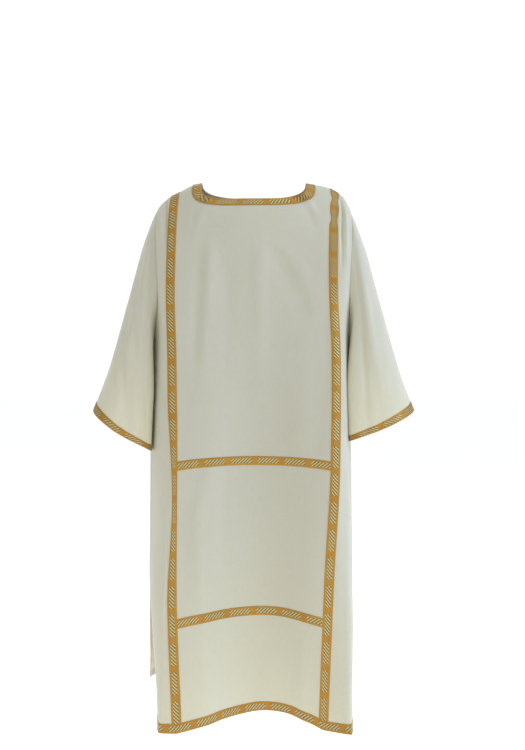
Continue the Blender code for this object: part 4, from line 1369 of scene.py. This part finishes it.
# Each sleeve's cloth and its cuff galloon
for name, (net, normals, sleeve_cells, side) in sleeves.items():
    all_round = np.concatenate([net, net[:, :1]], axis=1)
    weave = np.stack([lengths_across(all_round), lengths_down(all_round)], axis=-1)
    plain = np.full(net.shape[:2], EDGE_REACH)
    from_cuff = lengths_down(net)[-1:] - lengths_down(net)
    # Painted shade inside along the cuff, where the cloth under its galloon is doubled
    inside = 1 - ease((from_cuff - GALLOON_WIDTH) / TURNING_STEP)
    extra = {"edge": (plain, plain), "doubled_cloth_shade": (0 * inside, inside)}
    skins = (-CLOTH_HALF_WALL, CLOTH_HALF_WALL)
    piece = shell(name + "_sleeve_cloth", net, normals, sleeve_cells, side, *skins, weave, extra)
    piece.data.materials.append(VESTMENT_CLOTH)
    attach(piece, "root")
    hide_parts(name + "_sleeve")
    last = slice(len(net) - 1 - CUFF_ROWS, None)
    strip = (net[last], normals[last])
    band, length = galloon(name + "_cuff_braid", [name + "_cuff_galloon"], *strip, closed=True)


# Waists of each clavus in front: level, reach up and down, and the share lost
RIGHT_WAISTS = ((-0.72, 0.24, 0.50),)
LEFT_WAISTS = ((-0.039, 0.016, 0.30), (-0.0885, 0.018, 0.34))
# Each clavus: its first column, its waists, and the share of its width at which it stays held there
CLAVI = (
    ("right", BAND_OUTER, RIGHT_WAISTS, 1.0),
    ("left", COLUMNS - 1 - BAND_INNER, LEFT_WAISTS, 0.5),
)
for name, first, waists, held in CLAVI:
    band = slice(first, first + BAND_CELLS + 1)
    up_front = (slice(HEM_BAND_ROW, SHOULDER_ROW - 1, -1), band)
    down_back = (slice(SHOULDER_ROW + 1, HEM_BAND_ROW + 1), band)
    sides = ((front, back), (front_normals, back_normals))
    strips = [np.concatenate([one[up_front], two[down_back]]).swapaxes(0, 1) for one, two in sides]
    piece, length = galloon(name + "_clavus_braid", [name + "_clavus"], *strips, waists=waists, held=held)


def gathers(middle, along):
    """How far the neck galloon stands up in small pleats where it is eased round the front corners."""
    height = np.zeros(len(along))
    for side, centre, reach in PLEAT_GROUPS:
        near = np.clip(abs(side * middle[:, 0] - centre) / reach, 0, 1)
        strength = (1 + np.cos(np.pi * near)) / 2 * (middle[:, 1] < PLEAT_BACK)
        height += strength * PLEAT_LIFT * (abs(np.cos(np.pi * along / PLEAT_PITCH)) - PLEAT_REST)
    return height


# The neck galloon, across the front from right to left and back across the back
rows = slice(0, NECK_ROWS + 1)
across_front = (rows, slice(NECK_END, COLUMNS - NECK_END))
across_back = (rows, slice(COLUMNS - 2 - NECK_END, NECK_END, -1))
sides = ((front, back), (front_normals, back_normals))
strips = [np.concatenate([one[across_front], two[across_back]], axis=1) for one, two in sides]
piece, length = galloon(
    "neck_braid", ["neck_galloon"], *strips, closed=True, pitch=NECK_PITCH, gather=gathers
)


def band_rows(first):
    """The rows of a band of galloon that runs across a panel."""
    return slice(first, first + BAND_ROWS + 1)



# The crossbars, between the clavi, and the hem galloons, from slit to slit
between_clavi = slice(BAND_INNER, COLUMNS - BAND_INNER)
whole_width = slice(None)
LEVEL_BANDS = (
    ("upper_front_crossbar", UPPER_CROSSBAR_ROW, between_clavi, front, front_normals, front_piece),
    ("lower_front_crossbar", LOWER_CROSSBAR_ROW, between_clavi, front, front_normals, front_piece),
    ("front_hem_galloon", HEM_BAND_ROW, whole_width, front, front_normals, front_piece),
    ("back_hem_galloon", HEM_BAND_ROW, whole_width, back, back_normals, back_piece),
)
for name, first, columns, net, normals, base in LEVEL_BANDS:
    strip = (band_rows(first), columns)
    piece, length = galloon(name.replace("_galloon", "") + "_braid", [name], net[strip], normals[strip])

# A plain pale floor, soft studio light and the camera
bpy.ops.mesh.primitive_plane_add(size=80, location=(0, 0, FLOOR_LEVEL))
floor = bpy.context.object
floor.name = "studio_floor"
made, tree, shader = finish_of("pale_studio_paper")
grain = add(tree, "TexNoise", None, 40.0, 3.0)
paper = add(tree, "Mix", grain, linear(PAPER_SHADE), linear(WHITE), data_type="RGBA")
tree.links.new(paper, shader.inputs["Base Color"])
shader.inputs["Roughness"].default_value = 0.9
shader.inputs["Emission Color"].default_value = linear(WHITE)
shader.inputs["Emission Strength"].default_value = FLOOR_GLOW
floor.data.materials.append(made)

scene = bpy.context.scene
scene.view_settings.view_transform = "Standard"
world = bpy.data.worlds.new("white_studio")
world.use_nodes = True
scene.world = world
tree = world.node_tree
seen = add(tree, "LightPath")
backdrop = tree.nodes["Background"]
tint = add(tree, "Mix", seen, linear(ROOM_TINT), linear(WHITE), data_type="RGBA")
strength = add(tree, "Math", seen, BACKDROP_EXTRA, ROOM_LIGHT, operation="MULTIPLY_ADD")
tree.links.new(tint, backdrop.inputs["Color"])
tree.links.new(strength, backdrop.inputs["Strength"])


def lamp(name, size, power, place, colour):
    """A large soft lamp aimed at the middle of the garment."""
    light = bpy.data.lights.new(name, "AREA")
    light.size = size
    light.energy = power
    light.color = linear(colour)[:3]
    made = bpy.data.objects.new(name, light)
    scene.collection.objects.link(made)
    made.location = place
    aim = Vector(LAMPS_AIM) - made.location
    made.rotation_euler = aim.to_track_quat("-Z", "Y").to_euler()


lamp("key_lamp", 1.4, 50, (2.9, -0.9, 1.1), "#C6DCFF")
lamp("fill_lamp", 2.0, 2, (-2.4, -2.0, 0.4), "#FFF8EC")
lamp("back_lamp", 1.8, 14, (-0.8, 2.6, 1.2), WHITE)
lamp("top_lamp", 4.0, 40, (0.3, -0.3, 3.2), WHITE)
lamp("skirt_lamp", 1.6, 9, (0.2, -2.6, -1.3), "#FFF0D2")

camera = bpy.data.cameras.new("camera")
camera.lens = LENS
camera.sensor_width = 36
viewer = bpy.data.objects.new("camera", camera)
scene.collection.objects.link(viewer)
viewer.location = VIEWPOINT
viewer.rotation_euler = (np.pi / 2, 0, 0)
scene.camera = viewer
